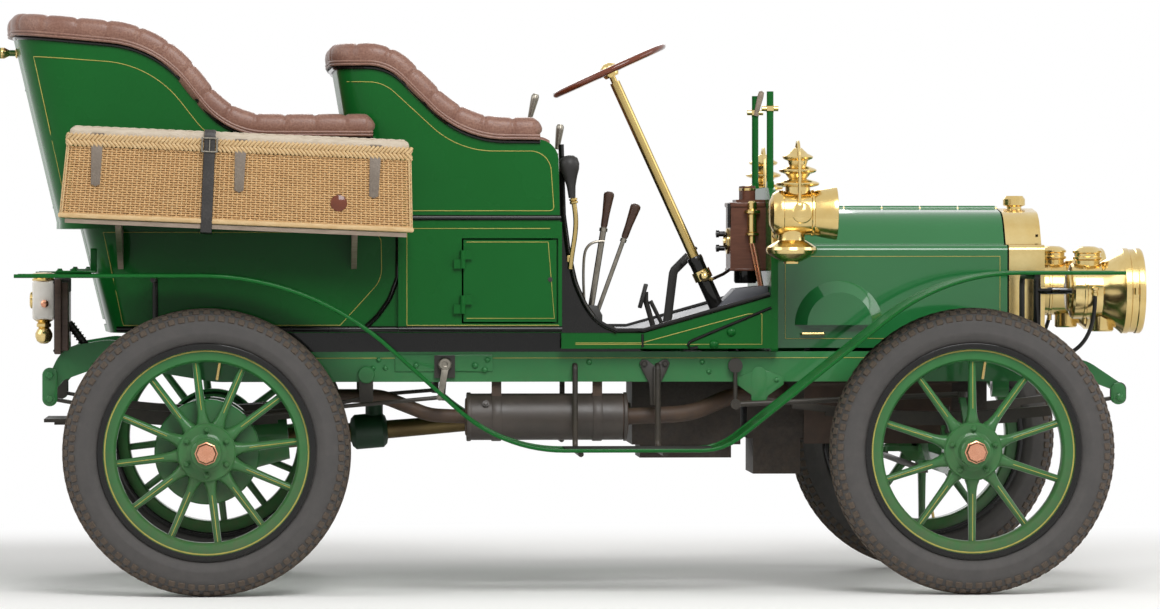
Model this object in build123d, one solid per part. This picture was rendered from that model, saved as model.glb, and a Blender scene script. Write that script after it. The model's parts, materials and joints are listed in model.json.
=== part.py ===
from build123d import *
import math
import os

# A rear entrance tonneau touring car of about 1905, in millimetres.
# Places are given from the rear axle: X forward, Y to the left, Z up from the ground.
# The finished pieces are shifted along X so that the origin is under the middle of the car.

# Stance
WHEELBASE = 2185.0
TRACK = 1300.0
TYRE_R = 410.0
REAR_END = 612.0
FRONT_END = 2710.0

# Clearances
SEAT_GAP = 0.3
MOVE_GAP = 5.0
PIN_GAP = 0.3
# How far joined shapes run into each other, or stop short
LAP = 1.0

# Tyres and wooden wheels
TYRE_HALF_W = 57.0
TYRE_SHOULDER_R = 396.0
TYRE_SHOULDER_HALF_W = 34.0
RIM_R = 300.0
RIM_HALF_W = 46.0
RIM_LIP = 9.0
RIM_LIP_T = 6.0
FELLOE_R = 293.0
FELLOE_IN_R = 259.0
FELLOE_HALF_W = 32.0
HUB_DISC_R = 85.0
HUB_HALF_W = 30.0
HUB_FLANGE_R = 82.0
HUB_FLANGE_T = 6.0
HUB_BARREL_R = 45.0
HUB_BARREL_END = 62.0
BOSS_R = 41.0
BOSS_END = 100.0
CAP_R = 30.0
CAP_END = 120.0
STUB_R = 22.0
STUB_END = 84.0
SPOKE_HUB_R = 21.0
SPOKE_RIM_R = 15.0
FRONT_SPOKES = 10
FRONT_SPOKE_TURN = 90.0
REAR_SPOKES = 12
REAR_SPOKE_TURN = 7.0
DRUM_R = 150.0
DRUM_T = 8.0
DRUM_END = 100.0
DRUM_CARRIER_R = 134.0
DRUM_CARRIER_T = 12.0

# Frame of two pressed rails
RAIL_Y = 380.0
RAIL_W = 45.0
RAIL_BOTTOM = 603.0
RAIL_H = 87.0
RAIL_WALL = 8.0
RAIL_POCKET_X = (26.0, 2370.0)
MEMBER_W = 50.0
MEMBER_X = (700.0, 1270.0, 1440.0, 2345.0)
REAR_MEMBER_X = -300.0
REAR_MEMBER_Z = 650.0
REAR_MEMBER_H = 60.0
STEP_TREAD_X = (-484.0, -390.0)
STEP_TREAD_HALF_W = 150.0
STEP_TREAD_Z = (480.0, 490.0)
STEP_STRAP_Y = (-110.0, 110.0)
STEP_STRAP_HALF_W = 12.0
STEP_STRAP_T = 8.0
STEP_STRAP_X = -455.0
STEP_STRAP_TOP = 705.0
HANDLE_BORE_R = 12.5
HANDLE_BORE_Z = 575.0
HANDLE_BOSS_R = 28.0

# Springs and their shackles: eye places in X and Z
LEAF_T = 10.0
LEAF_COUNT = 4
LEAF_STEP = 0.19
SPRING_SAG = 46.0
EYE_R = 17.0
SHACKLE_T = 6.0
SHACKLE_R = 20.0
SHACKLE_RISE = 34.0
FRONT_EYE_RISE = 12.0
FRONT_EYES = ((1595.0, 556.0), (2648.0, 556.0))
REAR_EYES = ((-456.0, 556.0), (456.0, 556.0))

# Axles
AXLE_HALF_W = 22.0
AXLE_DROP_IN = 40.0
AXLE_SLOPE = 30.0
KINGPIN_Y = 550.0
KINGPIN_R = 13.0
AXLE_EYE_R = 20.0
AXLE_EYE_HALF_H = 25.0
AXLE_DROP = 60.0
SPRING_PAD_HALF_X = 55.0
LUG_T = 20.0
LUG_HALF_X = 24.0
STUB_WEB_T = 11.0
WEB_GAP = 3.0
STEER_ARM = 130.0
ARM_T = 16.0
ARM_HALF_W = 9.0
LINK_PIN_R = 7.0
LINK_EYE_R = 15.0
TRACK_ROD_R = 10.0
REAR_TUBE_R = 45.0
DIFF_R = 140.0
DIFF_FACE_R = 60.0
DIFF_FLAT = 50.0
DIFF_NOSE = 90.0
DIFF_NOSE_R = (105.0, 62.0)
SHAFT_COVER_R = (30.0, 20.0)
SHAFT_COLLAR_X = (428.0, 510.0)
SHAFT_COLLAR_R = 50.0

# Gearbox, engine, exhaust and brakes
GEARBOX_X = (1240.0, 1560.0)
GEARBOX_Z = 372.0
GEARBOX_HALF_W = 150.0
GEARBOX_SUMP_H = 40.0
GEARBOX_SUMP_IN = 25.0
GEARBOX_SUMP_HALF_W = 115.0
SHAFT_Z = 512.0
ENGINE_X = (1580.0, 2290.0)
ENGINE_HALF_W = 140.0
CRANKCASE_Z = (430.0, 640.0)
CYLINDER_X = (1770.0, 2250.0)
CYLINDER_HALF_W = 95.0
CYLINDER_TOP = 985.0
GUARD_X = (1598.0, 1737.0)
GUARD_LOW = 325.0
BEARER_X = (1720.0, 2230.0)
BEARER_W = 50.0
BEARER_H = 26.0
TRAY_X = (1745.0, 2180.0)
TRAY_T = 4.0
TRAY_EDGE = 190.0
TRAY_FOOT = (170.0, 415.0)
TRAY_HOOK = 20.0
MUFFLER_X = (744.0, 1217.0)
MUFFLER_R = 67.0
MUFFLER_EDGE = 15.0
MUFFLER_Y = -322.0
MUFFLER_Z = 500.0
MUFFLER_STRAP_IN = 90.0
MUFFLER_STRAP_W = 28.0
PIPE_R = 24.0
TAIL_PIPE_R = 20.0
FRONT_PIPE = (
    # x, y, z, radius of the bend
    (1400.0, MUFFLER_Y, 508.0, 160.0),
    (1520.0, -240.0, 555.0, 110.0),
    (1640.0, -215.0, 570.0, 60.0),
    (1690.0, -120.0, 570.0, 0.0),
)
TAIL_PIPE = (
    # x, y, z, radius of the bend
    (640.0, -312.0, 505.0, 160.0),
    (500.0, -285.0, 560.0, 160.0),
    (250.0, -270.0, 560.0, 0.0),
)
BRAKE_LEVER_X = 683.0
BRAKE_LEVER_Z = 655.0
BRAKE_LEVER_R = 9.0
BRAKE_ROD_Z = 559.0
BRAKE_ROD_R = 6.0
BRAKE_ROD_OUT = 22.0
BRAKE_CAM = (40.0, 505.0)
BRAKE_CAM_LOW = 440.0
BRACKET_HALF_X = 30.0
BRACKET_T = 10.0
BRACKET_Z = (615.0, 680.0)

# Steering
STEER_Y = -300.0
WHEEL_CENTRE_X = 1165.0
WHEEL_CENTRE_Z = 1507.0
COLUMN_RAKE = 24.5
COLUMN_R = 15.0
SLEEVE_R = 21.0
SLEEVE_ALONG = (598.0, 900.0)
COLUMN_SHAFT_R = 9.0
STEERING_RIM_R = 169.0
STEERING_GRIP_R = 11.0
STEERING_HUB_R = 24.0
STEERING_HUB_H = 44.0
HUB_LIFT = 2.0
HUB_BORE_TOP = 14.3
SPIDER_R = (9.0, 6.0)
DROP_ARM_Z = 650.0
DROP_ARM_SET_BACK = 30.0
COLUMN_RUN = (WHEEL_CENTRE_Z - DROP_ARM_Z) * math.tan(math.radians(COLUMN_RAKE))
DROP_ARM_X = WHEEL_CENTRE_X + COLUMN_RUN - DROP_ARM_SET_BACK
DROP_ARM_L = 112.0
DROP_SHAFT_R = 12.0
DRAG_Y = -409.0
DRAG_R = 9.0
DRAG_EYE_Z = 557.0
DROP_ARM_T = 12.0
DRAG_EYE_T = 18.0
STEERING_BOX_X = (40.0, 46.0)
STEERING_BOX_OUT = 32.0

# Body
SILL_TOP = 746.0
FLOOR_STEP = 18.0
DECK_Z = 1066.0
DECK_T = 20.0
WALL = 25.0
BASE_HALF_W = 450.0
TUB_HALF_W = 510.0
SEAT_HALF_W = 470.0
BOX_BACK_X = 547.0
BOX_FRONT_X = 1019.0
TUB_FRONT_X = 483.0
ROLL_T = 64.0
ROLL_PROUD = 16.0
SQUAB_T = 45.0
CUSHION_H = 130.0
DOOR_HALF_W = 230.0
DOOR_GAP = 5.0
DOOR_SILL_GAP = 16.0
DOOR_SWING_IN = 18.0
DOOR_LOW_HALF_W = DOOR_HALF_W - DOOR_SWING_IN
DOOR_FRONT_X = -270.0
HANDLE_Y = -150.0
HANDLE_Z = 1560.0
HANDLE_R = 9.0
HANDLE_KNOB_R = 16.0
HANDLE_KNOB_T = 14.0
HINGE_R = 8.0
HINGE_PIN_R = 4.0
HINGE_HEIGHTS = (70.0, 430.0)
HINGE_HALF_L = 26.0
HINGE_LEAF_W = 30.0
HINGE_LEAF_T = 20.0
HINGE_LEAF_END = 6.0
HINGE_STANDOFF = 4.0
LOCKER_X = (735.0, 1003.0)
LOCKER_Z = (778.0, 1014.0)
LOCKER_T = 22.0
LOCKER_HINGES = (50.0, 180.0)
LOCKER_LEAF_W = 26.0
TUB_REAR_TOP = 1617.0
LOFT_SPARE = 83.0
TOP_OF_LOFT = TUB_REAR_TOP + LOFT_SPARE
BACK_LEAN = 0.234
TUB_BACK_X = -416.0
BULGE = 40.0
BULGE_R = 1500.0
TUB_CORNER_R = 150.0
SEAT_BACK_X = 447.0
SEAT_LEAN = 0.172
SEAT_BULGE = 12.0
SEAT_CORNER_R = 110.0
SEAT_FRONT_X = 1013.0
BASE_BACK_X = -274.0
BASE_LEAN = 0.245
BASE_CORNER_R = 130.0
RISER_X = (-230.0, 60.0)
RISER_IN = 40.0
REAR_CUSHION_BACK = -380.0
REAR_CUSHION_IN = 24.0
SQUAB_FRONT_X = 300.0
SQUAB_TUCK = 2.0
FRONT_CUSHION_X = (524.0, 985.0)
FRONT_CUSHION_GAP = 4.0
FRONT_ROLL_END = 962.0
FRONT_ROLL_LOW = DECK_Z + 200.0
FAR = 900.0
UNDER = 600.0
TUB_SHAPE = (
    TUB_HALF_W, TUB_BACK_X, TUB_BACK_X - BACK_LEAN * (TOP_OF_LOFT - DECK_Z), BULGE, TUB_CORNER_R,
    TUB_FRONT_X, DECK_Z, TOP_OF_LOFT,
)
SEAT_SHAPE = (
    SEAT_HALF_W, SEAT_BACK_X, SEAT_BACK_X - SEAT_LEAN * (TOP_OF_LOFT - DECK_Z), SEAT_BULGE, SEAT_CORNER_R,
    SEAT_FRONT_X, DECK_Z, TOP_OF_LOFT,
)
BASE_SHAPE = (
    BASE_HALF_W, BASE_BACK_X, BASE_BACK_X - BASE_LEAN * (DECK_Z - SILL_TOP), BULGE, BASE_CORNER_R,
    BOX_BACK_X, SILL_TOP, DECK_Z,
)
TUB_TOP = (
    # x, z, radius of the bend, from the back to the front
    (-700.0, TUB_REAR_TOP, 0),
    (-143.0, 1567.0, 320),
    (59.0, 1312.0, 235),
    (TUB_FRONT_X, 1312.0, 0),
)
SEAT_TOP = (
    # x, z, radius of the bend, from the back to the front
    (250.0, 1517.0, 0),
    (518.0, 1517.0, 145),
    (733.0, 1305.0, 300),
    (SEAT_FRONT_X - 5.0, 1303.0, 60),
    (SEAT_FRONT_X, DECK_Z, 0),
)

# Floor, sills and heel board
FLOOR_HALF_W = 420.0
FLOOR_SIDE_T = 12.0
FLOOR_SIDE_LOW = 700.0
TOE_X = 1255.0
TOE_BREAK = 5.0
TOE_TOP = 848.0
SILL_X = (40.0, 1250.0)
HEEL_T = 8.0
HEEL_IN = 10.0
HEEL_LINE = ((1026.0, 1190.0), (1040.0, 768.0), (1190.0, 750.3))
HEEL_BEND_R = 150.0
LEVER_SLOT_X = (1045.0, 1200.0)
LEVER_SLOT_Y = (-396.0, -352.0)

# Dash, bonnet and radiator
DASH_X = 1627.0
DASH_T = 20.0
DASH_HALF_W = 430.0
DASH_TOP = 1167.0
DASH_CORNER_R = 130.0
BONNET_TOP = 1108.0
BONNET_HALF_W = 290.0
BONNET_LEDGE_Z = 999.0
BONNET_DOME_HALF_W = 212.0
BONNET_T = 4.0
BONNET_TOP_HALF_W = 150.0
BONNET_TOP_FALL = 16.0
BONNET_BEND_R = (118.0, 14.0, 16.0)
BONNET_LEDGE_RISE = 2.0
BONNET_LOW = 699.0
BONNET_X = (1652.0, 2332.0)
BONNET_BARRELS = 6
BARREL_GAP = 2.0
BONNET_ROD_R = 5.0
BLISTER_X = 1837.0
BLISTER_Z = 766.0
BLISTER_R = (131.0, 95.0)
BLISTER_OUT = 34.0
RAD_X = 2337.0
RAD_DEPTH = 105.0
RAD_WALL = 18.0
RAD_FOOT_IN = 20.0
RAD_FOOT_T = 12.0
RAD_FOOT_LAP = 10.0
CORE_BACK = 12.0
CORE_FRONT = 14.0
FILLER_X = 51.0
FILLER_LOW = 7.0
FILLER = ((0, 0), (22, 0), (22, 12), (33, 16), (33, 34), (26, 44), (0, 44))
POST_Y = (-270.0, 270.0)
POST_TOP = 1448.0
POST_FOOT = 18.0
COIL_DEPTH = 104.0
COIL_Y = (-240.0, -70.0)
COIL_Z = (923.0, 1122.0)
OILER_DEPTH = 86.0
OILER_Y = (-225.0, -85.0)
OILER_T = 10.0
CUP_SET_BACK = 48.0
CUP_Y = (-205.0, -155.0, -105.0)
CUP_R = 20.0
CUP_H = 40.0

# Wings
WING_Y = (540.0, 775.0)
WING_T = 5.0
WING_TOP = 920.0
STEP_Z = 417.0
WING_TAIL_Z = 912.0
WING_PATH = (
    # x, z, radius of the bend
    (2610.0, WING_TOP, 0),
    (2098.0, WING_TOP, 600),
    (1464.0, STEP_Z, 172),
    (840.0, STEP_Z, 450),
    (291.0, WING_TAIL_Z, 800),
    (-540.0, WING_TAIL_Z, 0),
)
STAY_R = 8.0
STAY_BENDS = [12, 28]
STAY_END = 30.0
WING_STAYS = (
    # x, foot height on the rail, reach of the upright, height of the wing there
    (2360.0, 655.0, 405.0, WING_TOP),
    (1300.0, 650.0, 405.0, STEP_Z),
    (1060.0, 650.0, 405.0, STEP_Z),
    (-150.0, 680.0, 480.0, WING_TAIL_Z),
)

# Lamps and number plate: turned profiles are radius and distance along the axis
HEAD_BACK_X = 2492.0
HEAD_Y = -385.0
HEAD_Z = 866.0
HEAD_BODY = (
    (0, 0), (60, 0), (81, 14), (81, 105), (84, 108), (118, 157), (124, 160),
    (124, 214), (112, 218), (112, 200), (0, 200),
)
HEAD_CHIMNEY_X = 2554.0
HEAD_CHIMNEY_Z = 924.0
HEAD_CHIMNEY = ((0, 0), (36, 0), (36, 34), (43, 38), (43, 56), (30, 72), (0, 72))
HEAD_POST_X = 2410.0
HEAD_POST_TOP = 915.0
HEAD_POST_R = 11.0
HEAD_ARM_R = 10.0
NIPPLE_X = 2564.0
NIPPLE_Y = -474.0
NIPPLE_Z = (852.0, 866.0)
NIPPLE_R = 7.0
HOSE_R = 6.0
HOSE_PATH = (
    # x, y, z, radius of the bend
    (NIPPLE_X, NIPPLE_Y, 735.0, 60.0),
    (2450.0, -440.0, 655.0, 40.0),
    (2450.0, -RAIL_Y - SEAT_GAP, 655.0, 0.0),
)
SIDE_LAMP_Y = -600.0
SIDE_LAMP_X = (1607.0, 1801.0)
SIDE_LAMP_Z = 1091.0
SIDE_LAMP_BARREL = ((0, 0), (44, 0), (65, 30), (77, 46), (77, 182), (67, 194), (0, 194))
SIDE_CHIMNEY_BACK = 8.0
SIDE_CHIMNEY_Z = 1131.0
SIDE_CHIMNEY = (
    (0, 0), (54, 0), (54, 60), (44, 66), (44, 92), (50, 96), (50, 104), (34, 112),
    (34, 130), (40, 134), (20, 152), (0, 152),
)
FONT_BACK = 28.0
FONT_Z = 945.0
FONT = ((0, 0), (40, 0), (58, 10), (58, 46), (40, 58), (0, 58))
FONT_NECK_LOW = 990.0
FONT_NECK_R = 26.0
SIDE_ARM_DROP = 12.0
SIDE_ARM_R = 9.0
TAIL_LAMP_X = -478.0
TAIL_LAMP_Y = -365.0
TAIL_LAMP_Z = 714.0
TAIL_LAMP = (
    (0, 0), (24, 0), (33, 8), (33, 70), (22, 80), (22, 92), (34, 98),
    (34, 160), (20, 176), (20, 190), (0, 193),
)
TAIL_ARM_Z = 830.0
TAIL_ARM_R = 10.0
PLATE_X = -440.0
PLATE_T = 21.0
PLATE_Y = (-480.0, -250.0)
PLATE_Z = (686.0, 902.0)
PLATE_BACK_T = 20.0
PLATE_BACK_IN = 10.0
PLATE_STRUT = ((-402.0, -RAIL_Y + RAIL_W / 2, 775.0), (-350.0, -RAIL_Y + RAIL_W / 2, 705.0))
PLATE_STRUT_R = 11.0

# Hamper and driver's controls
HAMPER_X = (-417.0, 585.0)
HAMPER_TAPER = (17.0, 10.0)
HAMPER_Y = (-704.0, -528.0)
HAMPER_Z = 1058.0
HAMPER_H = 265.0
HAMPER_PITCH = 2.45
STRAP_T = 3.0
STRAP_HALF_W = 15.0
SHELF_T = 12.0
SHELF_IN = 4.0
SHELF_IRON_X = (-250.0, 420.0)
SHELF_IRON_HALF_T = 8.0
SHELF_IRON_Z = (930.0, DECK_Z - DECK_T - LAP)
SHELF_IRON_REACH = 680.0
SHELF_IRON_TIP = 10.0
LEVER_FOOT_Z = 768.0
LEVER_R = 7.0
LEVER_GRIP_R = 12.0
LEVER_GRIP_FROM = 0.72
LEVERS = (
    # y, foot x, top x, top z
    (-384.0, 1099.0, 1161.0, 1155.0),
    (-364.0, 1113.0, 1241.0, 1119.0),
)
LEVER_BRACKET_X = (1082.0, 1130.0)
LEVER_BRACKET_Z = 792.0
PEDAL_R = 8.0
PEDALS = (
    # y, foot x, bend x, bend z, tip x, tip z
    (-215.0, 1302.0, 1276.0, 838.0, 1276.0, 862.0),
    (-120.0, 1343.0, 1364.0, 922.0, 1409.0, 967.0),
)
PEDAL_PAD = (10.0, 56.0, 74.0)
PEDAL_PAD_TILT = 15.0
HORN_X = 1044.0
HORN_Y = -452.0
HORN_LOW = 930.0
HORN_BULB_Z = 1143.0
HORN_BULB = ((0, 0), (9, 0), (11, 12), (28, 50), (28, 84), (16, 112), (0, 116))
HORN_PIPE_R = 8.0
HORN_CLIP_Z = (950.0, 970.0)


def box(x0, x1, y0, y1, z0, z1):
    """A block between two corners."""
    middle = Pos((x0 + x1) / 2, (y0 + y1) / 2, (z0 + z1) / 2)
    return middle * Box(x1 - x0, y1 - y0, z1 - z0)


def bar(start, end, radius, end_radius=None):
    """A round bar, tapered where a second radius is given."""
    path = Vector(*end) - Vector(*start)
    plane = Plane(origin=start, z_dir=path)
    lift = Pos(0, 0, path.length / 2)
    if end_radius is None:
        return plane * lift * Cylinder(radius, path.length)
    return plane * lift * Cone(radius, end_radius, path.length)


def side_face(points, radii):
    """A closed outline in the X and Z plane, with a rounding radius at each corner."""
    return make_face(FilletPolyline(*points, radius=radii, close=True))


def side_plate(face, y0, y1):
    """A face drawn in X and Z, given a width from y0 to y1."""
    plane = Plane(origin=(0, y1, 0), x_dir=(1, 0, 0), z_dir=(0, -1, 0))
    return extrude(plane * face, y1 - y0)


def front_plate(face, x0, x1):
    """A face drawn in Y and Z, given a length from x0 to x1."""
    plane = Plane(origin=(x0, 0, 0), x_dir=(0, 1, 0), z_dir=(1, 0, 0))
    return extrude(plane * face, x1 - x0)


def turned(points, origin, axis):
    """A turned piece: points are radius and distance along the axis."""
    plane = Plane(origin=origin, z_dir=axis)
    face = make_face(Polyline(*[(r, 0, along) for r, along in points], close=True))
    return plane * revolve(face, Axis.Z)


def tube(points, radii, radius):
    """A round pipe along straight runs joined by tangent arcs."""
    path = FilletPolyline(*points, radius=radii)
    return sweep(Plane(origin=path @ 0, z_dir=path % 0) * Circle(radius), path)


def left_of(piece):
    """The same piece on the left side of the car."""
    return mirror(piece, about=Plane.XZ)


def pair(piece):
    """A right hand piece and its left hand twin."""
    return [piece, left_of(piece)]


def offset_points(points, amount):
    """The corner points of an open outline, moved to its left by an amount."""
    moved = []
    for index, point in enumerate(points):
        ahead = points[min(index + 1, len(points) - 1)]
        behind = points[max(index - 1, 0)]
        first = point if index == 0 else behind
        last = point if index == len(points) - 1 else ahead
        into = math.atan2(point[1] - first[1], point[0] - first[0])
        out = math.atan2(last[1] - point[1], last[0] - point[0])
        into = out if index == 0 else into
        out = into if index == len(points) - 1 else out
        half = (out - into) / 2
        reach = amount / math.cos(half)
        aim = into + half + math.pi / 2
        moved.append((point[0] + reach * math.cos(aim), point[1] + reach * math.sin(aim)))
    return moved


def save(name, *solids):
    """Shift the solids to the car's own origin and write them as one node."""
    shift = Pos((REAR_END - FRONT_END) / 2, 0, 0)
    placed = [shift * solid for solid in solids]
    whole = placed[0] if len(placed) == 1 else Compound(children=placed)
    export_step(whole, f"parts/{name}.step")


def fuse(pieces):
    """One solid from touching pieces."""
    whole = pieces[0]
    for piece in pieces[1:]:
        whole = whole + piece
    return whole


# Wheels: drawn with the axle along Y, the outer face towards -Y
def make_tyre():
    """A beaded edge tyre, round in section."""
    seat_half = RIM_HALF_W - RIM_LIP_T - SEAT_GAP
    seat_r = RIM_R + SEAT_GAP
    lip_r = RIM_R + RIM_LIP + SEAT_GAP
    waist_r = (TYRE_SHOULDER_R + lip_r) / 2
    corner = (TYRE_SHOULDER_R, TYRE_SHOULDER_HALF_W)
    outline = [
        Polyline((lip_r, -seat_half), (seat_r, -seat_half), (seat_r, seat_half), (lip_r, seat_half)),
        ThreePointArc((lip_r, seat_half), (waist_r, TYRE_HALF_W), corner),
        ThreePointArc(corner, (TYRE_R, 0), (corner[0], -corner[1])),
        ThreePointArc((corner[0], -corner[1]), (waist_r, -TYRE_HALF_W), (lip_r, -seat_half)),
    ]
    face = make_face(Curve() + outline)
    return revolve(face, Axis.Y)


def ring(points):
    """A ring turned about Y: points are radius and width."""
    return revolve(make_face(Polyline(*points, close=True)), Axis.Y)


def make_wheel(spokes, first_turn, drum):
    """A wooden wheel: steel rim, felloe, tapered spokes, hub, boss and cap."""
    lip_in = RIM_HALF_W - RIM_LIP_T
    lip_r = RIM_R + RIM_LIP
    right_half = [
        (FELLOE_IN_R, FELLOE_HALF_W),
        (FELLOE_R, FELLOE_HALF_W),
        (FELLOE_R, RIM_HALF_W),
        (lip_r, RIM_HALF_W),
        (lip_r, lip_in),
        (RIM_R, lip_in),
    ]
    left_half = [(r, -w) for r, w in reversed(right_half)]
    flange = HUB_HALF_W + HUB_FLANGE_T
    bore = STUB_R + PIN_GAP
    hub = ring([
        (bore, HUB_BARREL_END),
        (HUB_BARREL_R, HUB_BARREL_END),
        (HUB_BARREL_R, flange),
        (HUB_FLANGE_R, flange),
        (HUB_FLANGE_R, HUB_HALF_W),
        (HUB_DISC_R, HUB_HALF_W),
        (HUB_DISC_R, -HUB_HALF_W),
        (HUB_FLANGE_R, -HUB_HALF_W),
        (HUB_FLANGE_R, -flange),
        (BOSS_R, -flange),
        (BOSS_R, -BOSS_END),
        (CAP_R, -BOSS_END),
        (CAP_R, -CAP_END),
        (0, -CAP_END),
        (0, -STUB_END - PIN_GAP),
        (bore, -STUB_END - PIN_GAP),
    ])
    pieces = [hub, ring(right_half + left_half)]
    root = HUB_DISC_R - SPOKE_HUB_R / 2
    tip = FELLOE_IN_R + SPOKE_RIM_R / 2
    for index in range(spokes):
        turn = math.radians(first_turn + index * 360 / spokes)
        aim = (math.cos(turn), 0, math.sin(turn))
        start = tuple(root * part for part in aim)
        end = tuple(tip * part for part in aim)
        pieces.append(bar(start, end, SPOKE_HUB_R, SPOKE_RIM_R))
    if drum:
        pieces.append(ring([
            (HUB_BARREL_R - LAP, flange),
            (DRUM_R, flange),
            (DRUM_R, DRUM_END),
            (DRUM_R - DRUM_T, DRUM_END),
            (DRUM_R - DRUM_T, flange + DRUM_T),
            (HUB_BARREL_R - LAP, flange + DRUM_T),
        ]))
    return fuse(pieces)


# Frame
def rail_outline():
    """The side view of a rail: rear dumb iron, long straight middle, front dumb iron."""
    top = RAIL_BOTTOM + RAIL_H
    front_x, front_z = FRONT_EYES[1]
    rear_x, rear_z = REAR_EYES[0]
    corners = [
        # x, z, radius
        (20, RAIL_BOTTOM, 260),
        (-290, 655, 110),
        (rear_x + 40, 610, 20),
        (rear_x + 12, rear_z + EYE_R + 4, 8),
        (rear_x - 24, rear_z + EYE_R + 4, 12),
        (-420, 705, 90),
        (-290, 726, 120),
        (20, top, 260),
        (front_x - 210, top, 160),
        (front_x - 90, 660, 110),
        (front_x + 22, front_z + EYE_R + 12, 12),
        (front_x - 16, front_z + EYE_R + 4, 8),
        (front_x - 110, 612, 110),
        (front_x - 250, RAIL_BOTTOM, 160),
    ]
    return side_face([(x, z) for x, z, r in corners], [r for x, z, r in corners])


def make_rail():
    """The right rail, a channel open on the inside."""
    inner = -RAIL_Y + RAIL_W
    rail = side_plate(rail_outline(), -RAIL_Y, inner)
    x0, x1 = RAIL_POCKET_X
    z0 = RAIL_BOTTOM + RAIL_WALL
    z1 = RAIL_BOTTOM + RAIL_H - RAIL_WALL
    pocket = box(x0, x1, -RAIL_Y + RAIL_WALL, inner, z0, z1)
    return rail - pocket


def make_cross_members():
    """Members let into the channels, and the rear one between the dumb irons."""
    half = MEMBER_W / 2
    reach = RAIL_Y - RAIL_WALL
    z0 = RAIL_BOTTOM + RAIL_WALL
    z1 = RAIL_BOTTOM + RAIL_H - RAIL_WALL
    members = [box(x - half, x + half, -reach, reach, z0, z1) for x in MEMBER_X]
    front = MEMBER_X[-1]
    boss = box(front - half, front + half, -HANDLE_BOSS_R, HANDLE_BOSS_R, HANDLE_BORE_Z, z0)
    round_end = bar((front - half, 0, HANDLE_BORE_Z), (front + half, 0, HANDLE_BORE_Z), HANDLE_BOSS_R)
    bore = bar((front - half, 0, HANDLE_BORE_Z), (front + half, 0, HANDLE_BORE_Z), HANDLE_BORE_R)
    members[-1] = members[-1] + boss + round_end - bore
    inner = RAIL_Y - RAIL_W
    rear_x = REAR_MEMBER_X
    top = REAR_MEMBER_Z + REAR_MEMBER_H
    members.append(box(rear_x - half, rear_x + half, -inner, inner, REAR_MEMBER_Z, top))
    return members


def make_spring(eyes, rises):
    """A right hand leaf spring with its eyes and the shackle plates that rise from them."""
    (x0, z0), (x1, z1) = eyes
    chord = x1 - x0
    centre_x = (x0 + x1) / 2
    arc_r = (chord * chord / 4 + SPRING_SAG * SPRING_SAG) / (2 * SPRING_SAG)
    centre_z = (z0 + z1) / 2 - SPRING_SAG + arc_r
    full = math.degrees(math.asin(chord / 2 / arc_r))
    inner = -RAIL_Y + RAIL_W
    pieces = []
    for leaf in range(LEAF_COUNT):
        half = full * (1 - LEAF_STEP * leaf)
        line = CenterArc((centre_x, centre_z), arc_r + LEAF_T * leaf, 270 - half, 2 * half)
        pieces.append(side_plate(trace(line, LEAF_T), -RAIL_Y, inner))
    for (x, z), rise in zip(eyes, rises):
        pieces.append(bar((x, -RAIL_Y, z), (x, inner, z), EYE_R))
        plate = make_face(SlotOverall(2 * rise + 2 * SHACKLE_R, 2 * SHACKLE_R).wire())
        plate = Pos(x, z + rise) * Rot(0, 0, 90) * plate
        pieces.append(side_plate(plate, -RAIL_Y - SHACKLE_T, -RAIL_Y))
        pieces.append(side_plate(plate, inner, inner + SHACKLE_T))
    return fuse(pieces)


def spring_low(eyes):
    """The height of a spring's underside at its middle."""
    return eyes[0][1] - SPRING_SAG - LEAF_T * (LEAF_COUNT - 0.5)


# Axles
def make_front_axle():
    """A forged beam, dropped in the middle, with eyes for the kingpins and pads for the springs."""
    low = TYRE_R - AXLE_EYE_HALF_H
    high = TYRE_R + AXLE_EYE_HALF_H
    drop_y = RAIL_Y - RAIL_W - AXLE_DROP_IN
    lower = [(KINGPIN_Y, low), (RAIL_Y + 3 * AXLE_SLOPE, low), (drop_y, low - AXLE_DROP)]
    upper = [
        (KINGPIN_Y, high),
        (RAIL_Y - RAIL_W - AXLE_SLOPE / 2, high),
        (drop_y - AXLE_SLOPE, high - AXLE_DROP),
    ]
    points = lower + [(-y, z) for y, z in reversed(lower)]
    points += [(-y, z) for y, z in upper] + list(reversed(upper))
    x0, x1 = WHEELBASE - AXLE_HALF_W, WHEELBASE + AXLE_HALF_W
    beam = front_plate(make_face(Polyline(*points, close=True)), x0, x1)
    pad_top = spring_low(FRONT_EYES)
    for side in (-1, 1):
        y = side * KINGPIN_Y
        ends = (WHEELBASE, y, low), (WHEELBASE, y, high)
        beam = beam - box(x0, x1, *sorted((y, y + side * AXLE_EYE_R)), low, high)
        beam = beam + bar(*ends, AXLE_EYE_R)
        beam = beam - bar(*ends, KINGPIN_R + PIN_GAP)
        pad_y = sorted((side * RAIL_Y, side * (RAIL_Y - RAIL_W)))
        pad_x = (WHEELBASE - SPRING_PAD_HALF_X, WHEELBASE + SPRING_PAD_HALF_X)
        beam = beam + box(*pad_x, *pad_y, high - LUG_T, pad_top)
    return beam


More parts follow.
